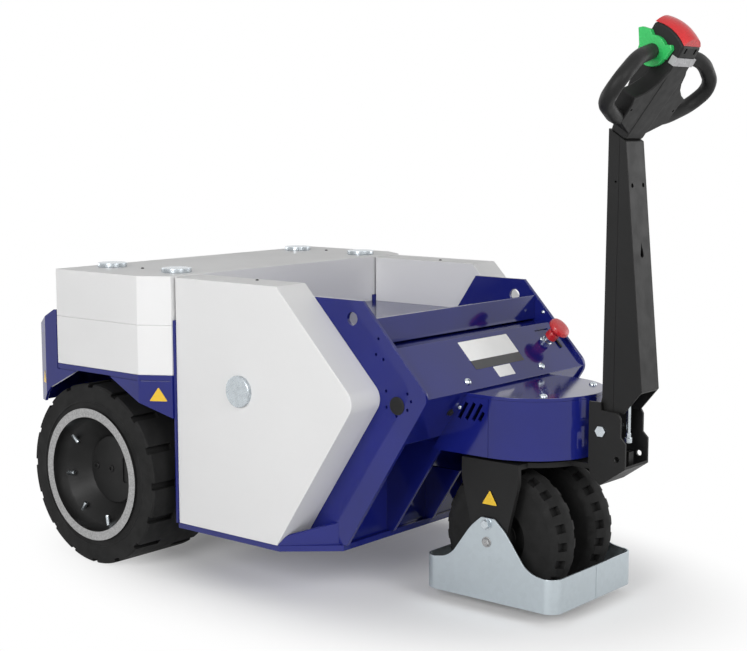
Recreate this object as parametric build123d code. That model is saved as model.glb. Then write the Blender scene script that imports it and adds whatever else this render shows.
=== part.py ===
from build123d import *
import math
import os

os.makedirs("parts", exist_ok=True)

# Pedestrian electric tow tractor. Millimetres. Places along X are first given from the rear axle,
# +X towards the tiller, +Y to the machine's left, Z from the floor. The finished nodes are then
# moved back by `middle_x`, so that the origin is on the floor under the middle of the whole machine.
running_gap = 0.05
turning_gap = 5.0
sheet = 8.0
plate = 10.0

# Rear drive wheels: press-on band tyres on deep dished wheels.
tyre_od = 457.2
tyre_outer_y = 471.0
tyre_inner_y = 250.0
tyre_shoulder = 4.0
tread_bars = 16
tread_groove = 18.0
tread_groove_length = 74.0
tread_groove_depth = 9.0
tyre_rubber = 61.0
band_od = tyre_od - 2 * tyre_rubber
band_id = band_od - 44.2
wheel_face_y = 478.6
dish_lip = 24.0
dish_depth = 82.0
hub_od = band_id - 119.0
web = 22.0
hub_bore = hub_od - 82.0
hub_inner_y = 300.0
hub_cap_od = hub_od - 4.0
hub_cap_lift = 6.0
rear_axle_z = tyre_od / 2

# Drive axle between the rear wheels.
axle_tube_od = hub_bore + 38.0
axle_tube_end_y = hub_inner_y - turning_gap
axle_stub_end_y = wheel_face_y - dish_depth - turning_gap
gearcase = (250.0, 270.0, 225.0)
gearcase_x = 25.0
gearcase_round = 40.0
hanger_y = 205.0
hanger = 20.0
hanger_length = 150.0

# Rear deck with its skirts, and the folded bumper behind it.
bumper_front_x = -116.0
deck_half = 478.0
deck_top = tyre_od + 43.8
deck_lip = 12.0
wheel_clear = 31.4
deck_front_x = tyre_od / 2 + wheel_clear
deck_corner_x = 188.0
deck_corner_half = deck_half - 44.0
bumper_bend_x = -164.0
bumper_rear_x = -203.0
bumper_rear_half = deck_half - 18.0
bumper_low = deck_top - 105.0
bumper_top = deck_top + 136.0
bumper_slope_x = -128.0
bumper_slope = 0.55
# Columns: X, Z below the deck's top of the wheel arch's edge in the skirts, from the back to the front.
arch = [(-179, 101), (-147, 65), (-40, 12), (79, 12), (278, 114)]

# Chassis: side plates, floor, bulkhead and the ribs under the nose.
plate_outer = 325.0
floor_low = 124.0
floor_top = 138.0
floor_front_x = 709.0
shelf_half = 422.0
shelf_front_x = 598.0
stop_outer = 17.0
stop_inner = 51.0
stop_inset = 14.0
stop_outer_inset = 3.5
stop_sheet = 10.0
bulkhead_half = deck_corner_half - 4.0
bulkhead_sheet = 6.0
bulkhead_top = 635.0
bulkhead_x = deck_front_x
hold_x = bulkhead_x + bulkhead_sheet
tray_top = 618.0
cheek_top = 708.0
cheek_rear_x = 552.0
cheek_crest_x = 613.0
cheek_front_x = 766.0
nose_x = 955.0
nose_z = 507.0
nose_round = 30.0
lift_hole = 30.0
lift_hole_x = 737.0
lift_hole_z = 666.0
rib_half = 150.0
rib_low_top = 270.0
battery_wall_x = 690.0
battery_end_gap = 8.0
battery_side_gap = 14.0
battery_lid_gap = 12.0

# Ballast blocks.
rear_block_rear_x = bumper_front_x
rear_block_half = deck_half
rear_block_split = deck_top + 121.0
rear_block_top = rear_block_split + 119.0
side_block = 100.0
side_block_top = 738.0
side_block_shoulder_x = 596.0
side_block_nose_x = 830.0
side_block_nose_z = 496.0
side_block_round = 40.0
side_block_foot_x = 592.0
cap_od = 74.0
cap_lift = 11.0
cap_x = (-49.0, 190.0)
cap_y = 349.0
side_cap_x = 480.0
side_cap_z = 486.0

# Load tray, console and nose.
tray_front_x = 800.0
tray_lip_top = 670.0
ledge_z = 606.0
console_inset = 12.0
console_low_z = 503.0
return_low_z = 390.0
steer_x = 1003.0
drum_od = 340.0
drum_low = 358.0
drum_top = 499.0
drum_wall = 6.0
vent_width = 9.0
vent_lean = 30.0
# Columns: X behind the steering axis, Z below the nose's top, length of each vent slot in its sides.
vents = [(70, 41, 44), (49.5, 41, 46), (30, 41, 46), (19, 50, 24)]
head_plate = 16.0
head_low = 372.0
head_boss_od = 190.0

# Emergency stop on the console.
stop_y = 234.0
stop_s = 52.0
stop_neck_od = 24.0
stop_neck = 34.0
stop_cap_od = 46.0
stop_cap = 12.0
stop_skirt_od = 27.0
stop_skirt = 12.0
stop_cap_round = 6.0

# Tow coupling on the bumper.
hitch_plate = (16.0, 170.0, 150.0)
hitch_z = deck_top - 16.0
hitch_lug = 16.0
hitch_lug_half = 45.0
hitch_gap = 46.0
hitch_reach = 52.0
hitch_pin_od = 26.0
hitch_pin_over = 34.0
hitch_collar_od = 42.0
hitch_collar = 10.0
hitch_grip_od = 18.0
hitch_grip = 36.0
hitch_bar_od = 14.0

# Steered fork with its twin wheel and guard.
front_tyre_od = 330.2
front_tyre_width = 85.0
front_tyre_inner_y = 36.0
front_tyre_round = 32.0
front_tyre_crown = 10.0
front_rim_od = front_tyre_od - 196.0
front_rim_inset = 17.0
front_bars = 24
front_groove = 20.0
front_groove_length = 28.0
front_groove_depth = 14.0
front_hub_od = 62.0
front_axle_od = 30.0
front_axle_z = front_tyre_od / 2
guard_length = 364.0
guard_half = 169.5
guard_low = 27.0
guard_top = 106.0
guard_sheet = 4.0
guard_round = 32.0
# Columns: half length along X, Z of the guard's raised cheek, from its foot up.
guard_hump = [(107, 113), (48, 194), (18, 220)]
crown_top = 350.0
crown = 12.0
crown_od = 300.0
leg = 12.0
leg_half_top = 79.0
leg_half_low = 32.0
leg_bend_z = 305.0
leg_low_z = 120.0
king_pin_od = 90.0

# Tiller bracket on the fork.
bracket_half = 51.3
bracket_sheet = 6.0
pivot_x = 1223.0
pivot_z = 428.0
pivot_od = 20.0
pivot_head = 6.0
pivot_head_od = 26.0
stop_hole = 13.0
stop_hole_x = 1263.0
stop_hole_z = 369.0
# Columns: X, Z round one bracket cheek.
bracket_outline = [
    (1191, 492), (1220, 492), (1222, 475), (1264, 472), (1271, 460), (1271, 419),
    (1284, 406), (1284, 349), (1222, 306), (1196, 326), (1191, 356),
]
clevis = (16.0, 20.0)
clevis_top = 380.0

# Tiller arm: a rear channel and a tapered front cover.
arm_half = 38.0
arm_sheet = 4.0
arm_rear_low_x = pivot_x - 7.0
arm_rear_top_x = pivot_x - 2.0
arm_seam_low_x = arm_rear_low_x + 28.0
arm_seam_top_x = arm_rear_top_x + 27.0
arm_front_low_x = arm_rear_low_x + 98.5
arm_front_top_x = arm_rear_top_x + 43.0
arm_low_z = 470.0
arm_foot_z = 502.0
arm_cut_z = 522.0
arm_cut_x = arm_rear_low_x + 55.0
lug_round = 22.0
rod_od = 9.0
rod_x = pivot_x + 39.0
rod_low_z = 398.0

# Tiller head, in its own upright frame: n forwards from the axis, u up along it.
head_lean = 33.0
head_x = 1243.0
head_z = 1075.0
head_half = 38.0
head_front_n = 20.0
head_brow_n = 30.0
head_brow_u = 150.0
head_rear_n = -58.0
head_base_n = -22.0
crown_r = 98.0
crown_n = -23.0
crown_u = 152.5
button_rise = 16.0
button_half = 36.0
button_front_n = 28.0
band_u = 190.0
band_height = 19.0
band_skin = 2.5
band_wrap = 13.0
switch_u = 193.0
switch_n = -24.0
switch_od = 66.0
switch_thick = 14.0
# Columns: Y, u round the web that joins each loop's lower run to the head.
web_outline = [
    (0, 10), (52, 30), (112, 46), (150, 60), (146, 82), (112, 76), (88, 104), (38, 148), (0, 160),
]
web_rear_n = 2.0
web_thick = 14.0
# Columns: n, u of the thumb switch's outline from its axis, from the back ear round to the front one.
switch_wings = [(-30, -8), (-54, 24), (-46, 31), (-28, 36), (-14, 27), (20, 26), (32, 33), (39, 26), (36, 0)]
loop_od = 33.0
# Columns: Y, u, n of the grip loop's corners, and the radius of its bend there, after the switch's axis.
loop_corners = [(140, 190, 2, 90), (203, 142, 22, 42), (182, 84, 8, 60), (112, 52, 6, 120)]
loop_foot_u = 34.0
loop_foot_n = 3.0

# Ends of the whole machine, for its middle.
hitch_pin_x = bumper_rear_x - hitch_plate[0] - hitch_reach
machine_rear_x = hitch_pin_x - hitch_lug_half
button_front_u = crown_u + math.sqrt((crown_r + button_rise)**2 - (button_front_n - crown_n)**2)
lean_cos = math.cos(math.radians(head_lean))
lean_sin = math.sin(math.radians(head_lean))
machine_front_x = head_x + button_front_n * lean_cos + button_front_u * lean_sin
middle_x = (machine_rear_x + machine_front_x) / 2


def side_prism(points, y_from, y_to):
    """A plate with its outline in X and Z, between two places along Y."""
    outline = make_face(Polyline([(x, 0, z) for x, z in points], close=True))
    return Pos(0, y_from, 0) * extrude(outline, amount=y_to - y_from, dir=(0, 1, 0))


def plan_prism(points, z_from, z_to):
    """A plate with its outline in X and Y, between two heights."""
    outline = make_face(Polyline([(x, y, 0) for x, y in points], close=True))
    return Pos(0, 0, z_from) * extrude(outline, amount=z_to - z_from, dir=(0, 0, 1))


def both_sides(half_outline):
    """A symmetric plan outline from its points on +Y, given from the back to the front."""
    return [(x, y) for x, y in half_outline] + [(x, -y) for x, y in reversed(half_outline)]


def block(x0, x1, y0, y1, z0, z1):
    """A plain box between opposite corners."""
    return Pos((x0 + x1) / 2, (y0 + y1) / 2, (z0 + z1) / 2) * Box(x1 - x0, y1 - y0, z1 - z0)


def rod_y(x, z, od, y_from, y_to):
    """A round bar along Y."""
    return Pos(x, (y_from + y_to) / 2, z) * Rot(90, 0, 0) * Cylinder(od / 2, y_to - y_from)


def rod_z(x, y, od, z_from, z_to):
    """A round bar along Z."""
    return Pos(x, y, (z_from + z_to) / 2) * Cylinder(od / 2, z_to - z_from)


def turned_y(x, z, profile):
    """A solid turned about an axis along Y, from its (radius, Y) profile."""
    outline = make_face(Polyline([(r, y, 0) for r, y in profile], close=True))
    return Pos(x, 0, z) * revolve(outline, Axis.Y)


def mirrored(solid):
    """The same piece on the other side of the machine."""
    return mirror(solid, Plane.XZ)


def upper_slant(z, inset=0.0):
    """X on the cheeks' upper slanted edge at a height."""
    return cheek_front_x + (cheek_top - z) * (nose_x - cheek_front_x) / (cheek_top - nose_z) - inset


def lower_slant(z, inset=0.0):
    """X on the cheeks' lower slanted edge at a height."""
    return floor_front_x + (z - floor_low) * (nose_x - floor_front_x) / (nose_z - floor_low) - inset


def return_x(z):
    """X on the front of the console's lower return at a height."""
    top = upper_slant(console_low_z, console_inset)
    low = lower_slant(return_low_z, console_inset)
    return low + (z - return_low_z) * (top - low) / (console_low_z - return_low_z)


nodes = {}


def tread_cuts(x, z, od, count, groove, shoulders):
    """Blocks that open a tyre's shoulders into bars, staggered between its two shoulders."""
    width, length, depth = groove
    inner, outer = shoulders
    cuts = []
    for k in range(count):
        for edge, turn in ((inner, 0.5), (outer, 0.0)):
            cut = Pos(0, edge, od / 2) * Box(width, 2 * length, 2 * depth)
            cuts.append(Pos(x, 0, z) * Rot(0, (k + turn) * 360 / count, 0) * cut)
    return cuts


def rear_wheels():
    """Tyre and dished wheel with its hub cap on each side, made on the left and mirrored."""
    s = tyre_shoulder
    tyre = turned_y(0, rear_axle_z, [
        (band_od / 2, tyre_inner_y), (tyre_od / 2 - s, tyre_inner_y),
        (tyre_od / 2, tyre_inner_y + s), (tyre_od / 2, tyre_outer_y - s),
        (tyre_od / 2 - s, tyre_outer_y), (band_od / 2, tyre_outer_y),
    ])
    groove = (tread_groove, tread_groove_length, tread_groove_depth)
    tyre -= tread_cuts(0, rear_axle_z, tyre_od, tread_bars, groove, (tyre_inner_y, tyre_outer_y))
    floor_y = wheel_face_y - dish_depth
    wheel = turned_y(0, rear_axle_z, [
        (band_od / 2, tyre_inner_y), (band_od / 2, wheel_face_y),
        (band_id / 2, wheel_face_y), (band_id / 2, wheel_face_y - dish_lip),
        (hub_od / 2, floor_y), (hub_bore / 2 + running_gap, floor_y),
        (hub_bore / 2 + running_gap, hub_inner_y), (hub_od / 2 - web, hub_inner_y),
        (hub_od / 2 - web, floor_y - web), (band_id / 2, wheel_face_y - dish_lip - web),
        (band_id / 2, tyre_inner_y),
    ])
    wheel += rod_y(0, rear_axle_z, hub_cap_od, floor_y, floor_y + hub_cap_lift)
    for side, place in (("left", lambda piece: piece), ("right", mirrored)):
        nodes["rear_tyre_" + side] = place(tyre)
        nodes["rear_wheel_" + side] = place(wheel)


def drive_axle():
    """The transaxle with its stub ends, hung from the deck by two hangers."""
    case = Pos(gearcase_x, 0, rear_axle_z) * Box(*gearcase)
    case = fillet(case.edges().filter_by(Axis.Y), gearcase_round)
    tube = rod_y(0, rear_axle_z, axle_tube_od, -axle_tube_end_y, axle_tube_end_y)
    stub = rod_y(0, rear_axle_z, hub_bore, -axle_stub_end_y, axle_stub_end_y)
    nodes["drive_axle"] = case + tube + stub
    hanger_plate = block(-hanger_length / 2, hanger_length / 2, hanger_y, hanger_y + hanger,
                         rear_axle_z, deck_top - deck_lip)
    hanger_plate -= rod_y(0, rear_axle_z, axle_tube_od + 2 * running_gap, 0, axle_tube_end_y)
    nodes["axle_hangers"] = hanger_plate + mirrored(hanger_plate)


def deck_ring(z_from, z_to):
    """The folded strip that runs round the deck's edge, seen from above, between two heights."""
    outer = both_sides([
        (bumper_rear_x, bumper_rear_half), (bumper_bend_x, deck_half),
        (deck_corner_x, deck_half), (deck_front_x, deck_corner_half),
    ])
    face = make_face(Polyline([(x, y, 0) for x, y in outer], close=True))
    inner = offset(face, amount=-sheet, kind=Kind.INTERSECTION)
    ring = extrude(face - inner, amount=z_to - z_from, dir=(0, 0, 1))
    front = block(deck_front_x - sheet, deck_front_x, -deck_corner_half + sheet, deck_corner_half - sheet,
                  0, z_to - z_from)
    return Pos(0, 0, z_from) * (ring - front)


def arch_cut():
    """What the wheel arches take out of the skirts."""
    edge = [(x, deck_top - drop) for x, drop in arch]
    outline = [(edge[0][0], rear_axle_z)] + edge + [(edge[-1][0], rear_axle_z)]
    return side_prism(outline, -deck_half - sheet, deck_half + sheet)


def rear_frame():
    """Deck with skirts, and the bumper with its sloping top edge."""
    behind = block(bumper_rear_x - plate, bumper_front_x, -deck_half - plate, deck_half + plate,
                   bumper_low, bumper_top)
    slope_end = bumper_rear_x - sheet
    slope = side_prism([
        (bumper_slope_x, bumper_top), (slope_end, bumper_top - bumper_slope * (bumper_slope_x - slope_end)),
        (slope_end, bumper_top + plate), (bumper_slope_x, bumper_top + plate),
    ], -deck_half - plate, deck_half + plate)
    bumper = (deck_ring(bumper_low, bumper_top) & behind) - slope - arch_cut()
    nodes["rear_bumper"] = bumper

    top = plan_prism(both_sides([
        (bumper_rear_x, bumper_rear_half), (bumper_bend_x, deck_half),
        (deck_corner_x, deck_half), (deck_front_x, deck_corner_half),
    ]), deck_top - deck_lip, deck_top)
    skirt = deck_ring(bumper_low, deck_top - deck_lip) - behind - arch_cut()
    nodes["rear_deck"] = (top - (deck_ring(bumper_low, bumper_top) & behind)) + skirt


def side_block_solid():
    """The left side ballast, a slab with a blunt nose that leans on the chassis plate."""
    rear = hold_x
    side = side_prism([
        (rear, floor_top), (rear, side_block_top), (side_block_shoulder_x, side_block_top),
        (side_block_nose_x, side_block_nose_z), (side_block_foot_x, floor_top),
    ], plate_outer, plate_outer + side_block)
    tip = side.edges().filter_by(Axis.Y).sort_by(Axis.X)[-1]
    return fillet(tip, side_block_round)


def chassis():
    """Side plates, floor with its stops, bulkhead, battery wall and ribs."""
    outline = [
        (hold_x, floor_top), (hold_x, tray_top), (cheek_rear_x, tray_top),
        (cheek_crest_x, cheek_top), (cheek_front_x, cheek_top),
        (nose_x, nose_z), (lower_slant(floor_top), floor_top),
    ]
    side = side_prism(outline, plate_outer - plate, plate_outer)
    tip = side.edges().filter_by(Axis.Y).sort_by(Axis.X)[-1]
    side = fillet(tip, nose_round)
    side -= rod_y(lift_hole_x, lift_hole_z, lift_hole, 0, 2 * plate_outer)
    nodes["side_plate_left"] = side
    nodes["side_plate_right"] = mirrored(side)

    floor = plan_prism(both_sides([
        (bulkhead_x, shelf_half), (shelf_front_x, shelf_half), (floor_front_x, plate_outer),
    ]), floor_low, floor_top)
    outer_x, inner_x = shelf_front_x - stop_outer_inset, floor_front_x - stop_inset
    upright = make_face(Polyline([
        (outer_x, shelf_half, floor_top), (inner_x, plate_outer, floor_top),
        (inner_x, plate_outer, floor_top + stop_inner), (outer_x, shelf_half, floor_top + stop_outer),
    ], close=True))
    stop = extrude(upright, amount=stop_sheet, dir=(-1, 0, 0)) - side_block_solid()
    nodes["floor_plate"] = floor + stop + mirrored(stop)

    inside = plate_outer - plate
    panel = block(bulkhead_x, hold_x, -bulkhead_half, bulkhead_half, floor_top, tray_top)
    ear = block(bulkhead_x, hold_x, inside, bulkhead_half, tray_top, bulkhead_top)
    nodes["bulkhead"] = panel + ear + mirrored(ear)
    wall = block(battery_wall_x, battery_wall_x + sheet, -inside, inside, floor_top, tray_top - sheet)
    back = battery_wall_x + sheet
    for y, top in ((-rib_half, head_low), (0, rib_low_top), (rib_half, head_low)):
        points = [(back, floor_top), (lower_slant(floor_top), floor_top),
                  (lower_slant(top), top), (back, top)]
        wall += side_prism(points, y - plate / 2, y + plate / 2)
    nodes["ribbed_wall"] = wall
    half = inside - battery_side_gap
    nodes["battery"] = block(hold_x + battery_end_gap, battery_wall_x - battery_end_gap, -half, half,
                             floor_top, tray_top - sheet - battery_lid_gap)


def ballast():
    """Two stacked blocks over the axle and one block on each side, with their round caps."""
    outline = both_sides([
        (rear_block_rear_x, rear_block_half), (deck_corner_x, rear_block_half),
        (deck_front_x, deck_corner_half),
    ])
    nodes["rear_ballast_lower"] = plan_prism(outline, deck_top, rear_block_split)
    nodes["rear_ballast_upper"] = plan_prism(outline, rear_block_split, rear_block_top)
    caps = [rod_z(x, y, cap_od, rear_block_top, rear_block_top + cap_lift)
            for x in cap_x for y in (-cap_y, cap_y)]
    side = side_block_solid()
    cap = rod_y(side_cap_x, side_cap_z, cap_od, plate_outer + side_block, plate_outer + side_block + cap_lift)
    nodes["side_ballast_left"] = side
    nodes["side_ballast_right"] = mirrored(side)
    nodes["ballast_caps"] = Compound(children=caps + [cap, mirrored(cap)])


def console():
    """Load tray, slanted console and its lower return."""
    inside = plate_outer - plate
    floor = block(hold_x, tray_front_x, -inside, inside, tray_top - sheet, tray_top)
    lip = block(tray_front_x - sheet, tray_front_x, -inside, inside, tray_top, tray_lip_top)
    nodes["load_tray"] = floor + lip

    top_x = upper_slant(ledge_z, console_inset)
    low_x = upper_slant(console_low_z, console_inset)
    slant = math.atan2(ledge_z - console_low_z, low_x - top_x)
    thick_x = sheet * math.sin(slant)
    thick_z = sheet * math.cos(slant)
    nodes["console_panel"] = side_prism([
        (tray_front_x, ledge_z), (top_x, ledge_z), (low_x, console_low_z),
        (low_x - thick_x, console_low_z - thick_z), (top_x - thick_x / 2, ledge_z - sheet),
        (tray_front_x, ledge_z - sheet),
    ], -inside, inside)

    mid_z = console_low_z - thick_z
    face = [
        (low_x, console_low_z), (return_x(return_low_z), return_low_z),
        (return_x(return_low_z) - plate, return_low_z), (low_x - thick_x, mid_z),
    ]
    nodes["console_return"] = side_prism(face, -inside, inside)


def nose():
    """Half-round nose cover with its lid, and the plate that carries the steering pin."""
    inside = plate_outer - plate
    radius = drum_od / 2
    rear = battery_wall_x

    def drum_plan(r):
        """The cover's outline: a half circle round the steering axis and straight sides behind it."""
        straight = Pos((rear + steer_x) / 2, 0) * Rectangle(steer_x - rear, 2 * r)
        return straight + Pos(steer_x, 0) * Circle(r)

    wall = extrude(drum_plan(radius) - drum_plan(radius - drum_wall), amount=drum_top - sheet - drum_low)
    wall = Pos(0, 0, drum_low) * wall
    below, above = drum_low - plate, drum_top + plate
    behind = side_prism([
        (0, below), (return_x(below), below), (return_x(above), above), (0, above),
    ], -inside, inside)
    slots = []
    for back, drop, length in vents:
        slot = Box(vent_width, 2 * drum_od, length)
        slots.append(Pos(steer_x - back, 0, drum_top - drop) * Rot(0, vent_lean, 0) * slot)
    nodes["nose_drum"] = wall - behind - slots
    lid = Pos(0, 0, drum_top - sheet) * extrude(drum_plan(radius), amount=sheet)
    nodes["nose_lid"] = lid - behind

    boss = rod_z(steer_x, 0, head_boss_od, crown_top + turning_gap, head_low + head_plate)
    arm = block(battery_wall_x + sheet, steer_x, -rib_half - plate / 2, rib_half + plate / 2,
                head_low, head_low + head_plate)
    pin_bore = rod_z(steer_x, 0, king_pin_od + 2 * running_gap, floor_low, drum_top)
    nodes["steering_head"] = arm + boss - pin_bore


def emergency_stop():
    """Stop button on its neck, square to the console."""
    top_x = upper_slant(ledge_z, console_inset)
    low_x = upper_slant(console_low_z, console_inset)
    slant = math.degrees(math.atan2(ledge_z - console_low_z, low_x - top_x))
    along = math.radians(slant)
    foot = Pos(top_x + stop_s * math.cos(along), stop_y, ledge_z - stop_s * math.sin(along))
    square = foot * Rot(0, slant, 0)
    nodes["stop_neck"] = square * Pos(0, 0, stop_neck / 2) * Cylinder(stop_neck_od / 2, stop_neck)
    cap = Pos(0, 0, stop_neck + stop_skirt + stop_cap / 2) * Cylinder(stop_cap_od / 2, stop_cap)
    cap = fillet(cap.edges().sort_by(Axis.Z)[-1], stop_cap_round)
    skirt = Pos(0, 0, stop_neck + stop_skirt / 2) * Cone(stop_skirt_od / 2, stop_cap_od / 2, stop_skirt)
    nodes["stop_button"] = square * (cap + skirt)


def tow_coupling():
    """Clevis on the bumper with its drop pin."""
    depth, width, height = hitch_plate
    face = bumper_rear_x - depth
    body = block(face, bumper_rear_x, -width / 2, width / 2, hitch_z - height / 2, hitch_z + height / 2)
    for low in (hitch_z - hitch_gap / 2 - hitch_lug, hitch_z + hitch_gap / 2):
        lug = block(hitch_pin_x, face, -hitch_lug_half, hitch_lug_half, low, low + hitch_lug)
        body += lug + rod_z(hitch_pin_x, 0, 2 * hitch_lug_half, low, low + hitch_lug)
    reach = hitch_gap / 2 + hitch_lug
    bore = rod_z(hitch_pin_x, 0, hitch_pin_od + 2 * running_gap, hitch_z - reach, hitch_z + reach)
    nodes["tow_clevis"] = body - bore
    shank = rod_z(hitch_pin_x, 0, hitch_pin_od, hitch_z - reach - hitch_pin_over, hitch_z + reach)
    collar_top = hitch_z + reach + hitch_collar
    collar = rod_z(hitch_pin_x, 0, hitch_collar_od, hitch_z + reach, collar_top)
    grip = rod_z(hitch_pin_x, 0, hitch_grip_od, collar_top, collar_top + hitch_grip)
    bar = rod_y(hitch_pin_x, collar_top + hitch_grip, hitch_bar_od, -hitch_lug_half, hitch_lug_half)
    nodes["tow_pin"] = shank + collar + grip + bar


def front_wheels():
    """Twin solid tyres on one hub, with the axle in the fork."""
    outer = front_tyre_inner_y + front_tyre_width
    s, c = front_tyre_round, front_tyre_crown
    inner, radius = front_tyre_inner_y, front_tyre_od / 2
    tyre = turned_y(steer_x, front_axle_z, [
        (front_rim_od / 2, inner), (radius - s, inner), (radius - c, inner + c), (radius, inner + s),
        (radius, outer - s), (radius - c, outer - c), (radius - s, outer), (front_rim_od / 2, outer),
    ])
    groove = (front_groove, front_groove_length, front_groove_depth)
    tyre -= tread_cuts(steer_x, front_axle_z, front_tyre_od, front_bars, groove, (inner, outer))
    nodes["front_tyres"] = Compound(children=[tyre, mirrored(tyre)])
    hub_end = guard_half - guard_sheet - leg - turning_gap
    hub = rod_y(steer_x, front_axle_z, front_hub_od, -hub_end, hub_end)
    disc = rod_y(steer_x, front_axle_z, front_rim_od, inner + front_rim_inset, outer - front_rim_inset)
    bore = rod_y(steer_x, front_axle_z, front_axle_od + 2 * running_gap, -guard_half, guard_half)
    nodes["front_rims"] = hub + disc + mirrored(disc) - bore
    axle_end = guard_half - guard_sheet
    nodes["front_axle"] = rod_y(steer_x, front_axle_z, front_axle_od, -axle_end, axle_end)


def fork():
    """Crown with the steering pin, two legs and the arm that carries the tiller bracket."""
    outer = guard_half - guard_sheet
    under = crown_top - crown
    disc = rod_z(steer_x, 0, crown_od, under, crown_top)
    bridge = block(steer_x - leg_half_top, steer_x + leg_half_top, -outer, outer, under, crown_top)
    half = bracket_half - bracket_sheet
    reach = block(steer_x, pivot_x, -half, half, under, crown_top)
    pin = rod_z(steer_x, 0, king_pin_od, crown_top, head_low + head_plate)
    low, bend = leg_half_low, leg_half_top
    cheek = side_prism([
        (steer_x - low, leg_low_z), (steer_x + low, leg_low_z), (steer_x + bend, leg_bend_z),
        (steer_x + bend, crown_top), (steer_x - bend, crown_top), (steer_x - bend, leg_bend_z),
    ], outer - leg, outer)
    bore = rod_y(steer_x, front_axle_z, front_axle_od + 2 * running_gap, -guard_half, guard_half)
    nodes["fork"] = disc + bridge + reach + pin + cheek + mirrored(cheek) - bore


def guard():
    """Open sheet ring round the front wheels, with a raised cheek on each fork leg."""
    def ring_plan(inset):
        return RectangleRounded(guard_length - 2 * inset, 2 * (guard_half - inset), guard_round - inset)

    ring = extrude(ring_plan(0) - ring_plan(guard_sheet), amount=guard_top - guard_low)
    ring = Pos(steer_x, 0, guard_low) * ring
    rise = [(guard_length / 2 - guard_round, guard_top)] + guard_hump
    points = [(steer_x + x, z) for x, z in rise] + [(steer_x - x, z) for x, z in reversed(rise)]
    cheek = side_prism(points, guard_half - guard_sheet, guard_half)
    nodes["wheel_guard"] = ring + cheek + mirrored(cheek)


def bracket():
    """Two cheeks with a base, the pivot bolt and the rod's clevis."""
    inner = bracket_half - bracket_sheet
    cheek = side_prism(bracket_outline, inner, bracket_half)
    cheek -= rod_y(pivot_x, pivot_z, pivot_od + 2 * running_gap, 0, 2 * bracket_half)
    cheek -= rod_y(stop_hole_x, stop_hole_z, stop_hole, 0, 2 * bracket_half)
    front_x, front_z = bracket_outline[7]
    low_x, low_z = bracket_outline[8]
    rise = bracket_sheet
    base = side_prism([(low_x, low_z), (front_x, front_z), (front_x, front_z + rise),
                       (low_x, low_z + rise)], -inner, inner)
    length, width = clevis
    eye = block(rod_x - length / 2, rod_x + length / 2, -width / 2, width / 2, low_z, clevis_top)
    eye -= side_prism([(low_x, low_z), (front_x, front_z), (front_x, low_z)], -inner, inner)
    nodes["tiller_bracket"] = cheek + mirrored(cheek) + base + eye
    bolt = rod_y(pivot_x, pivot_z, pivot_od, -bracket_half, bracket_half)
    for side in (-1, 1):
        head = extrude(RegularPolygon(pivot_head_od / 2, 6), amount=pivot_head)
        bolt += Pos(pivot_x, side * bracket_half, pivot_z) * Rot(-90 * side, 0, 0) * head
    nodes["tiller_pivot"] = bolt


def tiller():
    """Arm of a rear channel and a front cover, open below, with its lugs on the pivot and its rod."""
    lean = math.tan(math.radians(head_lean))
    rear_top = head_z + (head_x - arm_rear_top_x) * lean
    front_top = head_z - (arm_front_top_x - head_x) * lean
    outer = side_prism([
        (arm_rear_low_x, arm_foot_z), (arm_rear_top_x, rear_top), (arm_front_top_x, front_top),
        (arm_front_low_x, arm_cut_z), (arm_cut_x, arm_low_z), (arm_seam_low_x, arm_low_z),
    ], -arm_half, arm_half)
    skin = arm_sheet
    hollow = side_prism([
        (arm_rear_low_x + skin, pivot_z), (arm_rear_top_x + skin, rear_top - 2 * skin),
        (arm_front_top_x - skin, front_top - 2 * skin), (arm_front_low_x - skin, arm_cut_z),
        (arm_front_low_x - skin, pivot_z),
    ], -arm_half + skin, arm_half - skin)
    ahead = side_prism([
        (arm_seam_low_x, arm_low_z), (arm_seam_top_x, head_z), (arm_seam_top_x, 2 * head_z),
        (2 * steer_x, 2 * head_z), (2 * steer_x, arm_low_z),
    ], -2 * arm_half, 2 * arm_half)
    shell = outer - hollow
    lug_inner = arm_half - 2 * skin
    lug = side_prism([
        (pivot_x - lug_round, pivot_z), (pivot_x + lug_round, pivot_z), (arm_seam_low_x, arm_low_z),
        (arm_seam_low_x, arm_foot_z), (arm_rear_low_x, arm_foot_z),
    ], lug_inner, arm_half)
    lug += rod_y(pivot_x, pivot_z, 2 * lug_round, lug_inner, arm_half)
    lug -= rod_y(pivot_x, pivot_z, pivot_od + 2 * running_gap, 0, 2 * arm_half)
    nodes["tiller_channel"] = (shell - ahead) + lug + mirrored(lug)
    nodes["tiller_cover"] = shell & ahead
    inside = arm_half - skin
    rod = rod_z(rod_x, 0, rod_od, rod_low_z, arm_cut_z)
    nodes["tiller_rod"] = rod + rod_y(rod_x, arm_cut_z, rod_od, -inside, inside)


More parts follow.
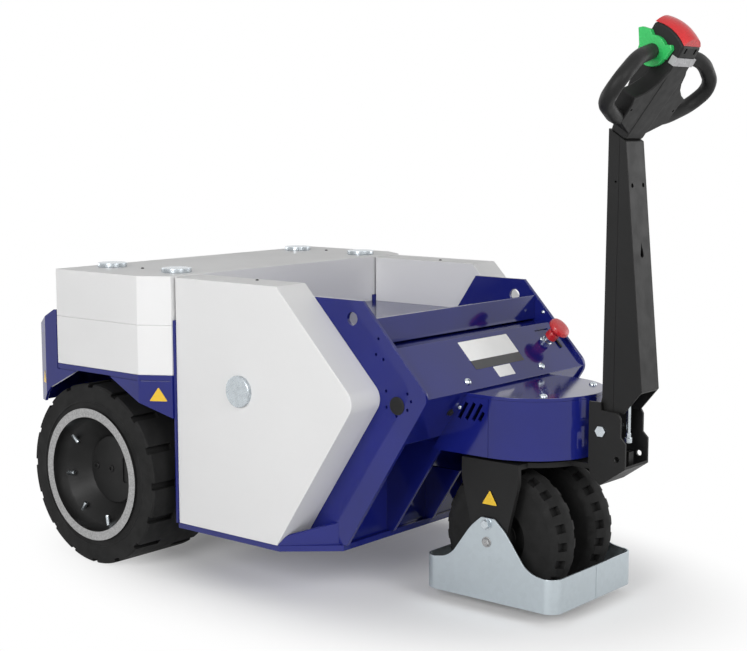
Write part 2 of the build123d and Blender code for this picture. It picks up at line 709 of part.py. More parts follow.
def tiller_head():
    """Leaning head with its switch wings, reversing button, light band and two grip loops."""
    lean = Pos(head_x, 0, head_z) * Rot(0, head_lean, 0)
    above = crown_u + 2 * crown_r
    body = side_prism([
        (head_base_n, 0), (head_rear_n, band_u), (head_rear_n, above), (head_brow_n, above),
        (head_brow_n, head_brow_u), (head_front_n, 0),
    ], -head_half, head_half)
    body &= (block(-crown_r, crown_r, -head_half, head_half, 0, crown_u)
             + rod_y(crown_n, crown_u, 2 * crown_r, -head_half, head_half))
    low, high = (crown_r, -button_half), (crown_r, button_half)
    outline = ThreePointArc(low, (crown_r + button_rise, 0), high)
    outline += Polyline(high, (0, button_half), (0, -button_half), low)
    dome = Pos(crown_n, 0, crown_u) * revolve(make_face(outline), Axis.Y)
    over = block(head_rear_n, button_front_n, -button_half, button_half, band_u + band_height, above)
    nodes["reverse_button"] = lean * ((dome & over) - body)
    wrap_half = head_half + band_skin
    band = block(head_brow_n - band_wrap, head_brow_n + band_skin, -wrap_half, wrap_half,
                 band_u, band_u + band_height)
    nodes["head_band"] = lean * (band - body)
    web_face = make_face(Polyline([(0, y, u) for y, u in web_outline], close=True))
    web = Pos(web_rear_n, 0, 0) * extrude(web_face, amount=web_thick, dir=(1, 0, 0))
    body = body + web + mirrored(web)
    nodes["tiller_head"] = lean * body
    face = head_half + switch_thick
    wing = rod_y(switch_n, switch_u, switch_od, head_half, face)
    wing += side_prism([(switch_n + n, switch_u + u) for n, u in switch_wings], head_half, face)
    nodes["thumb_switches"] = lean * Compound(children=[wing, mirrored(wing)])
    path = FilletPolyline(
        (switch_n, face, switch_u), *[(n, y, u) for y, u, n, bend in loop_corners],
        (loop_foot_n, 0, loop_foot_u), radius=[bend for y, u, n, bend in loop_corners],
    )
    tube = sweep(Plane(path @ 0, z_dir=path % 0) * Circle(loop_od / 2), path) - body - wing
    nodes["grip_loops"] = lean * Compound(children=[tube, mirrored(tube)])


rear_wheels()
drive_axle()
rear_frame()
chassis()
ballast()
console()
nose()
emergency_stop()
tow_coupling()
front_wheels()
fork()
guard()
bracket()
tiller()
tiller_head()

for name, solid in nodes.items():
    export_step(Pos(-middle_x, 0, 0) * solid, "parts/" + name + ".step")
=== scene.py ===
"""Pedestrian electric tow tractor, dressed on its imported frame. Its tables are in millimetres."""
import math

import bpy
from bpy.props import FloatProperty, PointerProperty, StringProperty
from mathutils import Matrix, Vector


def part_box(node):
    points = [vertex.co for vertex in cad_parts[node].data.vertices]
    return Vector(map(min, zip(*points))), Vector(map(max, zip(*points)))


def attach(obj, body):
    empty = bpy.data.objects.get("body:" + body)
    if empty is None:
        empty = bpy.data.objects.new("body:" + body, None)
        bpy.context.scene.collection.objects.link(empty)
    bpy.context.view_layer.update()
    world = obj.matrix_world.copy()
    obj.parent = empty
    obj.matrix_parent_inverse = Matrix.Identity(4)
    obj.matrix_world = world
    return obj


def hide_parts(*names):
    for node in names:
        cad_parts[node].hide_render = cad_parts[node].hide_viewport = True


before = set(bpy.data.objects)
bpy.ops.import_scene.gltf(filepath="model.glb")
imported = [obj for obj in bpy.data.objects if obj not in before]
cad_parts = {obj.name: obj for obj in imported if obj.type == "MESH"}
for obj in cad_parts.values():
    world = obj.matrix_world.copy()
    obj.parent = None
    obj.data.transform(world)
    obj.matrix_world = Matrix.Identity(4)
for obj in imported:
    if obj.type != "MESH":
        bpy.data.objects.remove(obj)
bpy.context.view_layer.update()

bl_info = {
    "name": "Tow tractor",
    "version": (1, 0, 0),
    "blender": (4, 5, 0),
    "location": "3D View > Sidebar > Tow tractor",
    "description": "Dresses a pedestrian tow tractor and sets its studio",
    "category": "Object",
}

MM = 0.001
wheel_low, wheel_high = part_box("rear_wheel_left")
axle_x = (wheel_low.x + wheel_high.x) / 2
axle_z = (wheel_low.z + wheel_high.z) / 2
# The machine's sides with the sign of Y on each, and the signs alone.
LEFT_RIGHT = (("left", 1), ("right", -1))
SIGNS = (1, -1)
# The corners of a rectangle, in order, as shares of its half width and half height.
CORNERS = ((-1, -1), (1, -1), (1, 1), (-1, 1))
# Head radii of the screws.
SCREW_R = 9.0
SMALL_SCREW_R = 5.0
WHITE = (1.0, 1.0, 1.0, 1.0)


def at(x, y, z):
    """A place in the frame, from millimetres ahead of the rear axle, to the left and above the floor."""
    return Vector((axle_x + x * MM, y * MM, z * MM))


def colour_prop(name, about, default):
    """A colour as a hex value in sRGB."""
    return StringProperty(name=name, description=about, default=default)


def length_prop(name, about, default):
    """A length in millimetres, kept in metres."""
    return FloatProperty(name=name, description=about, default=default * MM, min=0.0, unit="LENGTH",
                         subtype="DISTANCE", precision=4)


class TowTractorColours(bpy.types.PropertyGroup):
    """Colours of the machine's finishes, as sRGB hex values."""

    blue: colour_prop("Enamel blue", "Gloss enamel on the chassis", "#181F6E")
    white: colour_prop("Ballast white", "Satin enamel on the ballast", "#E0E0E0")
    zinc: colour_prop("Zinc", "Bright zinc plate on caps and screws", "#C3CACF")
    galvanised: colour_prop("Galvanised", "Galvanised sheet of the wheel guard", "#BAC3C8")
    machined: colour_prop("Machined steel", "Turned face of the tyre bands", "#A9A9A9")
    cast: colour_prop("Cast black", "Painted castings of the wheels and axle", "#1A1A1A")
    powder: colour_prop("Powder black", "Powder coat on the fork and tiller", "#1B1B1B")
    moulded: colour_prop("Moulded black", "Grained plastic of the tiller head", "#202020")
    rubber: colour_prop("Rubber", "Tyre compound", "#222222")
    red: colour_prop("Signal red", "Stop and reversing buttons", "#C8282C")
    green: colour_prop("Switch green", "Thumb switches", "#32BC60")
    grey: colour_prop("Pale grey", "Band on the tiller head", "#A8A8AA")
    vinyl: colour_prop("Vinyl white", "Blank plates", "#FAFAF8")
    dark_vinyl: colour_prop("Vinyl dark", "Blank strip on the console", "#2A2A2C")
    yellow: colour_prop("Vinyl yellow", "Blank triangles", "#E2B92C")
    floor: colour_prop("Floor", "Studio floor", "#EDEDED")


class TowTractorSizes(bpy.types.PropertyGroup):
    """Edge radii and small sizes that only the scene has."""

    sheet_edge: length_prop("Sheet edge", "Rounding of cut sheet edges", 1.2)
    ballast_edge: length_prop("Ballast edge", "Rounding of the ballast blocks", 2.0)
    casting_edge: length_prop("Casting edge", "Rounding of cast edges", 3.0)
    rubber_edge: length_prop("Rubber edge", "Rounding of the tread bars", 2.0)
    moulding_edge: length_prop("Moulding edge", "Rounding of the tiller head", 6.0)
    plate_thick: length_prop("Plate thickness", "Thickness of the blank plates", 0.6)
    sign_round: length_prop("Sign corner", "Corner rounding of the blank triangles", 3.0)
    seam: length_prop("Seam", "Width of the open seams between sheets", 1.2)
    gap: length_prop("Gap", "Width of the gaps round the deck plate", 2.6)


def colours():
    """The machine's colours, as set in the scene."""
    return bpy.context.scene.tow_tractor_colours


def sizes():
    """The small sizes, as set in the scene."""
    return bpy.context.scene.tow_tractor_sizes


def linear(value):
    """sRGB hex to linear RGBA."""
    parts = [int(value[i:i + 2], 16) / 255 for i in (1, 3, 5)]
    return tuple(p / 12.92 if p <= 0.04045 else ((p + 0.055) / 1.055) ** 2.4 for p in parts) + (1.0,)


def shade(value, factor):
    """A hex colour made lighter or darker, in linear light."""
    red, green, blue, alpha = linear(value)
    return (min(red * factor, 1.0), min(green * factor, 1.0), min(blue * factor, 1.0), alpha)


def add(tree, kind, inputs=None, **settings):
    """Adds a node with its settings, and sets or links its inputs."""
    made = tree.nodes.new(kind)
    for key, value in settings.items():
        setattr(made, key, value)
    for key, value in (inputs or {}).items():
        if isinstance(value, bpy.types.NodeSocket):
            tree.links.new(value, made.inputs[key])
        else:
            made.inputs[key].default_value = value
    return made


def per_mm(size):
    """The scale at which a noise or cell pattern repeats about every so many millimetres."""
    return 1.0 / (size * MM)


def begin(name, inputs):
    """A new material with its shader and the place on the piece that its patterns follow."""
    made = bpy.data.materials.new(name)
    made.use_nodes = True
    tree = made.node_tree
    tree.nodes.clear()
    shader = add(tree, "ShaderNodeBsdfPrincipled", inputs)
    add(tree, "ShaderNodeOutputMaterial", {"Surface": shader.outputs["BSDF"]})
    where = add(tree, "ShaderNodeTexCoord").outputs["Object"]
    return made, tree, shader, where


def mottle(tree, shader, where, size, low, high, detail=3.0):
    """Colour that drifts between two tones over a pattern of a real size, also returned for other nodes."""
    noise = add(tree, "ShaderNodeTexNoise", {"Vector": where, "Scale": per_mm(size), "Detail": detail})
    ramp = add(tree, "ShaderNodeValToRGB", {"Fac": noise.outputs["Fac"]})
    ramp.color_ramp.elements[0].position = 0.32
    ramp.color_ramp.elements[1].position = 0.68
    ramp.color_ramp.elements[0].color = low
    ramp.color_ramp.elements[1].color = high
    tree.links.new(ramp.outputs["Color"], shader.inputs["Base Color"])
    return ramp.outputs["Color"]


def roughen(tree, shader, where, size, low, high):
    """Roughness that varies over a pattern of a real size."""
    noise = add(tree, "ShaderNodeTexNoise", {"Vector": where, "Scale": per_mm(size), "Detail": 4.0})
    span = add(tree, "ShaderNodeMapRange", {"Value": noise.outputs["Fac"], "From Min": 0.3, "From Max": 0.7,
                                            "To Min": low, "To Max": high})
    tree.links.new(span.outputs["Result"], shader.inputs["Roughness"])


def grain(tree, shader, where, size, depth, strength):
    """Bump of a real grain size and depth in millimetres."""
    noise = add(tree, "ShaderNodeTexNoise", {"Vector": where, "Scale": per_mm(size), "Detail": 2.0})
    bump = add(tree, "ShaderNodeBump", {"Height": noise.outputs["Fac"], "Distance": depth * MM,
                                        "Strength": strength})
    tree.links.new(bump.outputs["Normal"], shader.inputs["Normal"])


def gloss_enamel(value):
    """Stove enamel on sheet steel: deep colour under a hard gloss that mirrors at a low angle, with a
    faint orange peel, drawn coarser than the real one so that it shows."""
    made, tree, shader, where = begin("gloss_blue_enamel", {"IOR": 1.5, "Specular IOR Level": 0.42})
    mottle(tree, shader, where, 180, shade(value, 0.92), shade(value, 1.08))
    roughen(tree, shader, where, 140, 0.07, 0.13)
    grain(tree, shader, where, 9, 0.04, 0.08)
    return made


def satin_enamel(value):
    """Sprayed satin enamel on steel ballast: pale, even, with a soft sheen and the slightest dust."""
    made, tree, shader, where = begin("satin_white_enamel", {"IOR": 1.5, "Specular IOR Level": 0.35})
    mottle(tree, shader, where, 260, shade(value, 0.975), shade(value, 1.0))
    roughen(tree, shader, where, 90, 0.4, 0.5)
    grain(tree, shader, where, 5, 0.05, 0.1)
    return made


def zinc_plate(value):
    """Bright zinc plate: cool pale metal with fine turning marks, drawn coarse enough to show."""
    made, tree, shader, where = begin("bright_zinc_plate", {"Metallic": 1.0})
    mottle(tree, shader, where, 14, shade(value, 0.9), shade(value, 1.05))
    roughen(tree, shader, where, 4, 0.2, 0.34)
    return made


def galvanised_sheet(value):
    """Hot-dip galvanised sheet: satin metal with a spangle of cells about a centimetre across, so faint
    that it only breaks up the sheen."""
    made, tree, shader, where = begin("galvanised_sheet", {"Metallic": 1.0})
    cells = add(tree, "ShaderNodeTexVoronoi", {"Vector": where, "Scale": per_mm(11)})
    tone = add(tree, "ShaderNodeSeparateColor", {"Color": cells.outputs["Color"]})
    ramp = add(tree, "ShaderNodeValToRGB", {"Fac": tone.outputs["Red"]})
    ramp.color_ramp.elements[0].color = shade(value, 0.975)
    ramp.color_ramp.elements[1].color = shade(value, 1.02)
    tree.links.new(ramp.outputs["Color"], shader.inputs["Base Color"])
    span = add(tree, "ShaderNodeMapRange", {"Value": tone.outputs["Green"], "To Min": 0.38, "To Max": 0.43})
    tree.links.new(span.outputs["Result"], shader.inputs["Roughness"])
    return made


def machined_steel(value):
    """Turned steel band: pale grey metal with a fine speckle of tool marks, drawn coarse enough to show."""
    made, tree, shader, where = begin("turned_steel", {"Metallic": 1.0})
    mottle(tree, shader, where, 3.2, shade(value, 0.7), shade(value, 1.15), 6.0)
    roughen(tree, shader, where, 4, 0.45, 0.6)
    return made


def painted_casting(value):
    """Black-painted iron casting: satin, with the slow unevenness of a sand mould."""
    made, tree, shader, where = begin("painted_casting", {"IOR": 1.5, "Specular IOR Level": 0.22})
    mottle(tree, shader, where, 60, shade(value, 0.8), shade(value, 1.15))
    roughen(tree, shader, where, 40, 0.4, 0.52)
    grain(tree, shader, where, 9, 0.25, 0.25)
    return made


def powder_coat(value):
    """Black powder coat on folded steel: satin with a fine pebble that breaks up the highlights."""
    made, tree, shader, where = begin("black_powder_coat", {"IOR": 1.5, "Specular IOR Level": 0.2})
    mottle(tree, shader, where, 120, shade(value, 0.9), shade(value, 1.08))
    roughen(tree, shader, where, 30, 0.42, 0.54)
    grain(tree, shader, where, 2.6, 0.08, 0.25)
    return made


def grained_moulding(value):
    """Injection-moulded black plastic: matt, with an even spark-eroded grain."""
    made, tree, shader, where = begin("grained_black_moulding", {"IOR": 1.46, "Specular IOR Level": 0.2})
    mottle(tree, shader, where, 80, shade(value, 0.92), shade(value, 1.06))
    roughen(tree, shader, where, 18, 0.44, 0.56)
    grain(tree, shader, where, 2.0, 0.1, 0.3)
    return made


def tyre_rubber(value):
    """Solid tyre compound: dull black with dusty greyer patches, and painted shade that makes it blacker down
    in the tread's cuts.
    """
    made, tree, shader, where = begin("tyre_rubber", {"IOR": 1.52, "Specular IOR Level": 0.14})
    dust = mottle(tree, shader, where, 45, shade(value, 0.8), shade(value, 1.2))
    # Painted shade: an occlusion node darkens the base colour down in the tread's cuts.
    painted_cut_shade = add(tree, "ShaderNodeAmbientOcclusion", {"Color": dust, "Distance": 24 * MM}, samples=8,
               only_local=True)
    tree.links.new(painted_cut_shade.outputs["Color"], shader.inputs["Base Color"])
    roughen(tree, shader, where, 25, 0.66, 0.82)
    grain(tree, shader, where, 4, 0.2, 0.3)
    return made


def gloss_moulding(name, value):
    """Glossy coloured plastic, such as a push button: saturated, with a smooth clear skin."""
    made, tree, shader, where = begin(name, {"IOR": 1.5})
    mottle(tree, shader, where, 50, shade(value, 0.94), shade(value, 1.04))
    roughen(tree, shader, where, 20, 0.24, 0.32)
    return made


def vinyl_film(name, value):
    """Blank printed vinyl: even colour under a thin satin film."""
    made, tree, shader, where = begin(name, {"IOR": 1.48})
    mottle(tree, shader, where, 30, shade(value, 0.97), shade(value, 1.0))
    roughen(tree, shader, where, 15, 0.3, 0.4)
    return made


FINISHES = {}


def finishes():
    """The machine's materials, made once."""
    if not FINISHES:
        c = colours()
        FINISHES.update({
            "blue": gloss_enamel(c.blue), "white": satin_enamel(c.white), "zinc": zinc_plate(c.zinc),
            "galvanised": galvanised_sheet(c.galvanised), "machined": machined_steel(c.machined),
            "cast": painted_casting(c.cast), "powder": powder_coat(c.powder),
            "moulded": grained_moulding(c.moulded), "rubber": tyre_rubber(c.rubber),
            "red": gloss_moulding("gloss_red_moulding", c.red),
            "green": gloss_moulding("gloss_green_moulding", c.green),
            "grey": gloss_moulding("pale_grey_moulding", c.grey),
            "vinyl": vinyl_film("white_vinyl", c.vinyl), "yellow": vinyl_film("yellow_vinyl", c.yellow),
            "dark_vinyl": vinyl_film("dark_vinyl", c.dark_vinyl),
        })
    return FINISHES


def clear():
    """Object mode with nothing selected."""
    if bpy.context.object and bpy.context.object.mode != "OBJECT":
        bpy.ops.object.mode_set(mode="OBJECT")
    bpy.ops.object.select_all(action="DESELECT")


def only(piece):
    """Selects one piece and makes it active."""
    clear()
    piece.select_set(True)
    bpy.context.view_layer.objects.active = piece


def apply_modifier(piece, kind, **settings):
    """Adds a modifier to a piece with its settings and applies it."""
    only(piece)
    bpy.ops.object.modifier_add(type=kind)
    modifier = piece.modifiers[-1]
    for key, value in settings.items():
        setattr(modifier, key, value)
    bpy.ops.object.modifier_apply(modifier=modifier.name)


def smooth(piece, angle=35):
    """Smooth shading over soft edges and crisp edges elsewhere, with even flats."""
    only(piece)
    bpy.ops.object.shade_smooth_by_angle(angle=math.radians(angle))
    apply_modifier(piece, "WEIGHTED_NORMAL", keep_sharp=True, weight=80)


def join(pieces, name):
    """Joins pieces into one."""
    clear()
    for piece in pieces:
        piece.select_set(True)
    bpy.context.view_layer.objects.active = pieces[0]
    if len(pieces) > 1:
        bpy.ops.object.join()
    pieces[0].name = name
    return pieces[0]


def cut(piece, cutters):
    """Takes the cutters' shapes out of a piece."""
    cutter = join(cutters, "cutter")
    apply_modifier(piece, "BOOLEAN", operation="DIFFERENCE", solver="EXACT", object=cutter)
    bpy.data.objects.remove(cutter)


def round_edges(piece, width, segments=3, cutters=None, angle=30):
    """Rounds a piece's edges by a width in metres, then opens its seams and holes."""
    apply_modifier(piece, "BEVEL", width=width, segments=segments, limit_method="ANGLE",
                   angle_limit=math.radians(angle), use_clamp_overlap=True, miter_outer="MITER_ARC")
    if cutters:
        cut(piece, cutters)
    smooth(piece)


def round_chosen(piece, chosen, width, segments):
    """Rounds only the edges with both ends at places that pass a test, by a width in metres."""
    only(piece)
    bpy.ops.object.mode_set(mode="EDIT")
    bpy.ops.mesh.select_mode(type="EDGE")
    bpy.ops.mesh.select_all(action="DESELECT")
    bpy.ops.object.mode_set(mode="OBJECT")
    for edge in piece.data.edges:
        edge.select = all(chosen(piece.data.vertices[index].co) for index in edge.vertices)
    bpy.ops.object.mode_set(mode="EDIT")
    bpy.ops.mesh.bevel(offset=width, segments=segments, affect="EDGES", clamp_overlap=True)
    bpy.ops.mesh.select_mode(type="VERT")
    bpy.ops.object.mode_set(mode="OBJECT")


def merge(piece):
    """Merges a piece's doubled corners and flat neighbours, and turns its faces outward."""
    only(piece)
    bpy.ops.object.mode_set(mode="EDIT")
    bpy.ops.mesh.select_all(action="SELECT")
    bpy.ops.mesh.remove_doubles(threshold=0.02 * MM)
    bpy.ops.mesh.dissolve_limited(angle_limit=math.radians(0.4))
    bpy.ops.mesh.normals_make_consistent(inside=False)
    bpy.ops.object.mode_set(mode="OBJECT")


def copy_node(name, piece_name):
    """A merged copy of a solid of the frame, ready to be worked on."""
    only(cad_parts[name])
    bpy.ops.object.duplicate()
    piece = bpy.context.object
    piece.name = piece_name
    piece.parent = None
    for key in list(piece.keys()):
        del piece[key]
    piece.data.materials.clear()
    bpy.ops.mesh.customdata_custom_splitnormals_clear()
    merge(piece)
    return piece


def settle(piece, body, finish, *nodes):
    """Gives a finished piece its body and material, and hides the solids that it stands for."""
    if not piece.data.materials:
        piece.data.materials.append(finishes()[finish])
    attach(piece, body)
    if nodes:
        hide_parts(*nodes)
    return piece


def dressed(name, body, finish, width, segments=3, cutters=None, gaps=None, angle=30):
    """A solid of the frame with gaps cut before its edges are rounded, seams cut after, and its finish."""
    piece = copy_node(name, name + "_skin")
    if gaps:
        cut(piece, gaps)
        merge(piece)
    round_edges(piece, width, segments, cutters, angle)
    return settle(piece, body, finish, name)


def turned(name, profile, steps=32):
    """A round or many-sided piece at the origin, from (radius, height) pairs in millimetres up its axis."""
    clear()
    bpy.ops.mesh.primitive_circle_add(vertices=steps, radius=profile[0][0] * MM, fill_type="NGON",
                                      location=(0, 0, profile[0][1] * MM))
    piece = bpy.context.object
    piece.name = name
    bpy.ops.object.transform_apply(location=True, rotation=True, scale=True)
    bpy.ops.object.mode_set(mode="EDIT")
    bpy.ops.mesh.select_all(action="SELECT")
    for (r0, h0), (r1, h1) in zip(profile, profile[1:]):
        bpy.ops.mesh.extrude_region_move(TRANSFORM_OT_translate={"value": (0, 0, (h1 - h0) * MM)})
        bpy.ops.transform.resize(value=(r1 / r0, r1 / r0, 1), center_override=(0, 0, 0))
    bpy.ops.mesh.select_all(action="SELECT")
    bpy.ops.mesh.normals_make_consistent(inside=False)
    bpy.ops.object.mode_set(mode="OBJECT")
    return piece


def prism(name, corners, along, corner_round=0.0):
    """A flat outline of corners, in metres, with its corners rounded and drawn out along a vector."""
    clear()
    bpy.ops.mesh.primitive_circle_add(vertices=len(corners), radius=0.01, fill_type="NGON")
    piece = bpy.context.object
    piece.name = name
    bpy.ops.object.transform_apply(location=True, rotation=True, scale=True)
    for vertex, corner in zip(piece.data.vertices, corners):
        vertex.co = corner
    bpy.ops.object.mode_set(mode="EDIT")
    bpy.ops.mesh.select_all(action="SELECT")
    if corner_round:
        bpy.ops.mesh.bevel(offset=corner_round, segments=4, affect="VERTICES")
        bpy.ops.mesh.select_all(action="SELECT")
    bpy.ops.mesh.extrude_region_move(TRANSFORM_OT_translate={"value": along})
    bpy.ops.mesh.select_all(action="SELECT")
    bpy.ops.mesh.normals_make_consistent(inside=False)
    bpy.ops.object.mode_set(mode="OBJECT")
    return piece


def slit(middle, width, height, depth):
    """A cutter for a seam or slot, from its middle and three edge vectors in metres."""
    corners = [middle + (i * width + j * height) / 2 - depth for i, j in CORNERS]
    return prism("cutter", corners, 2 * depth)


def drill(place, axis, radius, depth):
    """A cutter for a round hole, its radius and depth in millimetres."""
    cutter = turned("cutter", [(radius, -depth), (radius, depth)], 24)
    cutter.data.transform(aimed(place, axis))
    return cutter


def blank_plate(name, corners, normal, corner_round):
    """A thin blank plate on a surface."""
    lift = sizes().plate_thick
    piece = prism(name, corners, Vector(normal) * lift, corner_round)
    round_edges(piece, lift * 0.3, 1)
    return piece


def aimed(place, axis, turn=0.0):
    """The move that takes a piece's +Z to an axis and its foot to a place."""
    aim = Vector(axis).to_track_quat("Z", "Y").to_matrix().to_4x4()
    return Matrix.Translation(place) @ aim @ Matrix.Rotation(math.radians(turn), 4, "Z")


def scatter(model, name, moves):
    """Copies of a model, each with its own mesh, joined into one smooth piece."""
    copies = []
    for move in moves:
        only(model)
        bpy.ops.object.duplicate()
        one = bpy.context.object
        one.data.transform(move)
        copies.append(one)
    bpy.data.objects.remove(model)
    piece = join(copies, name)
    smooth(piece)
    return piece


def on_flanks(model, name, x, y, z, turn=0.0):
    """Copies of a model on both sides of the machine, looking outward, as one piece."""
    return scatter(model, name, [aimed(at(x, sign * y, z), (0, sign, 0), turn) for sign in SIGNS])


def dome_screw(radius):
    """A button-head screw with a socket, from its radius in millimetres."""
    r = radius
    return turned("dome_screw", [(r, 0), (r, 0.12 * r), (0.9 * r, 0.4 * r), (0.62 * r, 0.62 * r),
                                 (0.4 * r, 0.66 * r), (0.36 * r, 0.3 * r)], 20)


def hex_bolt(across, height):
    """A hexagon head on a washer, from its width across flats and its height in millimetres."""
    r = across / 2 / math.cos(math.pi / 6)
    head = turned("hex_head", [(0.96 * r, 1.6), (r, 2.2), (r, height - 1.0), (0.9 * r, height)], 6)
    washer = turned("washer", [(1.24 * r, 0), (1.24 * r, 1.3), (1.18 * r, 1.7)], 28)
    return join([head, washer], "hex_bolt")


class TOWTRACTOR_OT_rear_wheels(bpy.types.Operator):
    """Tyres with rounded tread bars, dished wheels with turned bands, and their pegs"""

    bl_idname = "towtractor.rear_wheels"
    bl_label = "Rear wheels"

    band_inner_r = 144.5
    band_face_y = 475.0
    lip_r = 145.5
    lip_y = 454.6
    bowl = 17.0
    tyre_face_y = 471.0
    # Radius of the rib round the tyre's wall, its half width, and its height as a share of that.
    rib = (184.0, 2.6, 0.6)
    peg_angles = (144, 189, 234, 279)
    peg_r = 134.0
    peg_y = 440.0
    cap_face_y = 402.6
    # Columns: radius, height up the axis of a peg, and of a plug on the hub cap.
    peg = [(6, -4), (6, 21), (4.6, 24)]
    cap_plug = [(9.5, -2), (9.5, 1.6), (8.4, 2.6), (4.6, 2.6), (4.2, -5)]
    # Columns: X of the plugs on the hub cap, and their height above the axle.
    cap_plugs = [(-64, 1), (-8, 1)]
    # X of the pocket in the hub cap, its height above the axle, its width, height, depth and corner rounding.
    cap_pocket = (46, 4, 20, 66, 3, 6)
    # How far the pocket's cutter stands out of the cap.
    cutter_clear = 7.0

    def execute(self, context):
        for side, sign in LEFT_RIGHT:
            body = "rear_wheel_" + side
            tyre = copy_node("rear_tyre_" + side, "rear_tyre_skin_" + side)
            round_edges(tyre, sizes().rubber_edge, 2)
            settle(tyre, body, "rubber", "rear_tyre_" + side)
            self.wheel(body, side, sign)
            self.peg_ring(body, side, sign)
            self.side_rib(body, side, sign)
        return {"FINISHED"}

    def on_wheel(self, x, y, up):
        """A place on a wheel, from its axle."""
        return at(x, y, axle_z / MM + up)

    def from_axle(self, place):
        """How far a place is from the rear axle's line, in millimetres."""
        return math.hypot(place.x - axle_x, place.z - axle_z) / MM

    def on_lip(self, place):
        """Whether a corner lies where the dish meets the band."""
        return abs(self.from_axle(place) - self.lip_r) < 1.0 and abs(abs(place.y) / MM - self.lip_y) < 0.5

    def wheel(self, body, side, sign):
        """Black dished wheel with the turned face of its band, and a pocket and plugs in the hub cap."""
        x, up, width, height, depth, corner = self.cap_pocket
        outward = Vector((0, sign, 0))
        corners = [self.on_wheel(x + i * width / 2, sign * (self.cap_face_y - depth), up + j * height / 2)
                   for i, j in CORNERS]
        pocket = prism("cutter", corners, outward * (depth + self.cutter_clear) * MM, corner * MM)
        piece = copy_node(body, "rear_wheel_skin_" + side)
        round_chosen(piece, self.on_lip, self.bowl * MM, 6)
        round_edges(piece, sizes().casting_edge * 0.6, 3, [pocket])
        piece.data.materials.append(finishes()["cast"])
        piece.data.materials.append(finishes()["machined"])
        for face in piece.data.polygons:
            places = [piece.data.vertices[index].co for index in face.vertices]
            inner = min(self.from_axle(place) for place in places)
            lowest = min(abs(place.y) for place in places) / MM
            face.material_index = int(inner > self.band_inner_r and lowest > self.band_face_y)
        settle(piece, body, "cast", body)
        moves = [aimed(self.on_wheel(x, sign * self.cap_face_y, up), outward) for x, up in self.cap_plugs]
        settle(scatter(turned("hub_plug", self.cap_plug, 24), "hub_plugs_" + side, moves), body, "cast")

    def peg_ring(self, body, side, sign):
        """Bright pegs that stand out of the dish towards the axle."""
        moves = []
        for angle in self.peg_angles:
            out = Vector((math.cos(math.radians(angle)), 0, math.sin(math.radians(angle))))
            place = self.on_wheel(self.peg_r * out.x, sign * self.peg_y, self.peg_r * out.z)
            moves.append(aimed(place, -out))
        settle(scatter(turned("dish_peg", self.peg, 20), "dish_pegs_" + side, moves), body, "zinc")

    def side_rib(self, body, side, sign):
        """Flat moulded rib round the tyre's outer wall, beside the band."""
        radius, half, flat = self.rib
        clear()
        bpy.ops.mesh.primitive_torus_add(major_segments=96, minor_segments=8, major_radius=radius * MM,
                                         minor_radius=half * MM)
        rib = bpy.context.object
        rib.name = "tyre_side_rib_" + side
        bpy.ops.object.mode_set(mode="EDIT")
        bpy.ops.mesh.select_all(action="SELECT")
        bpy.ops.transform.resize(value=(1, 1, flat), center_override=(0, 0, 0))
        bpy.ops.object.mode_set(mode="OBJECT")
        rib.data.transform(aimed(self.on_wheel(0, sign * self.tyre_face_y, 0), (0, sign, 0)))
        smooth(rib, 60)
        settle(rib, body, "rubber")


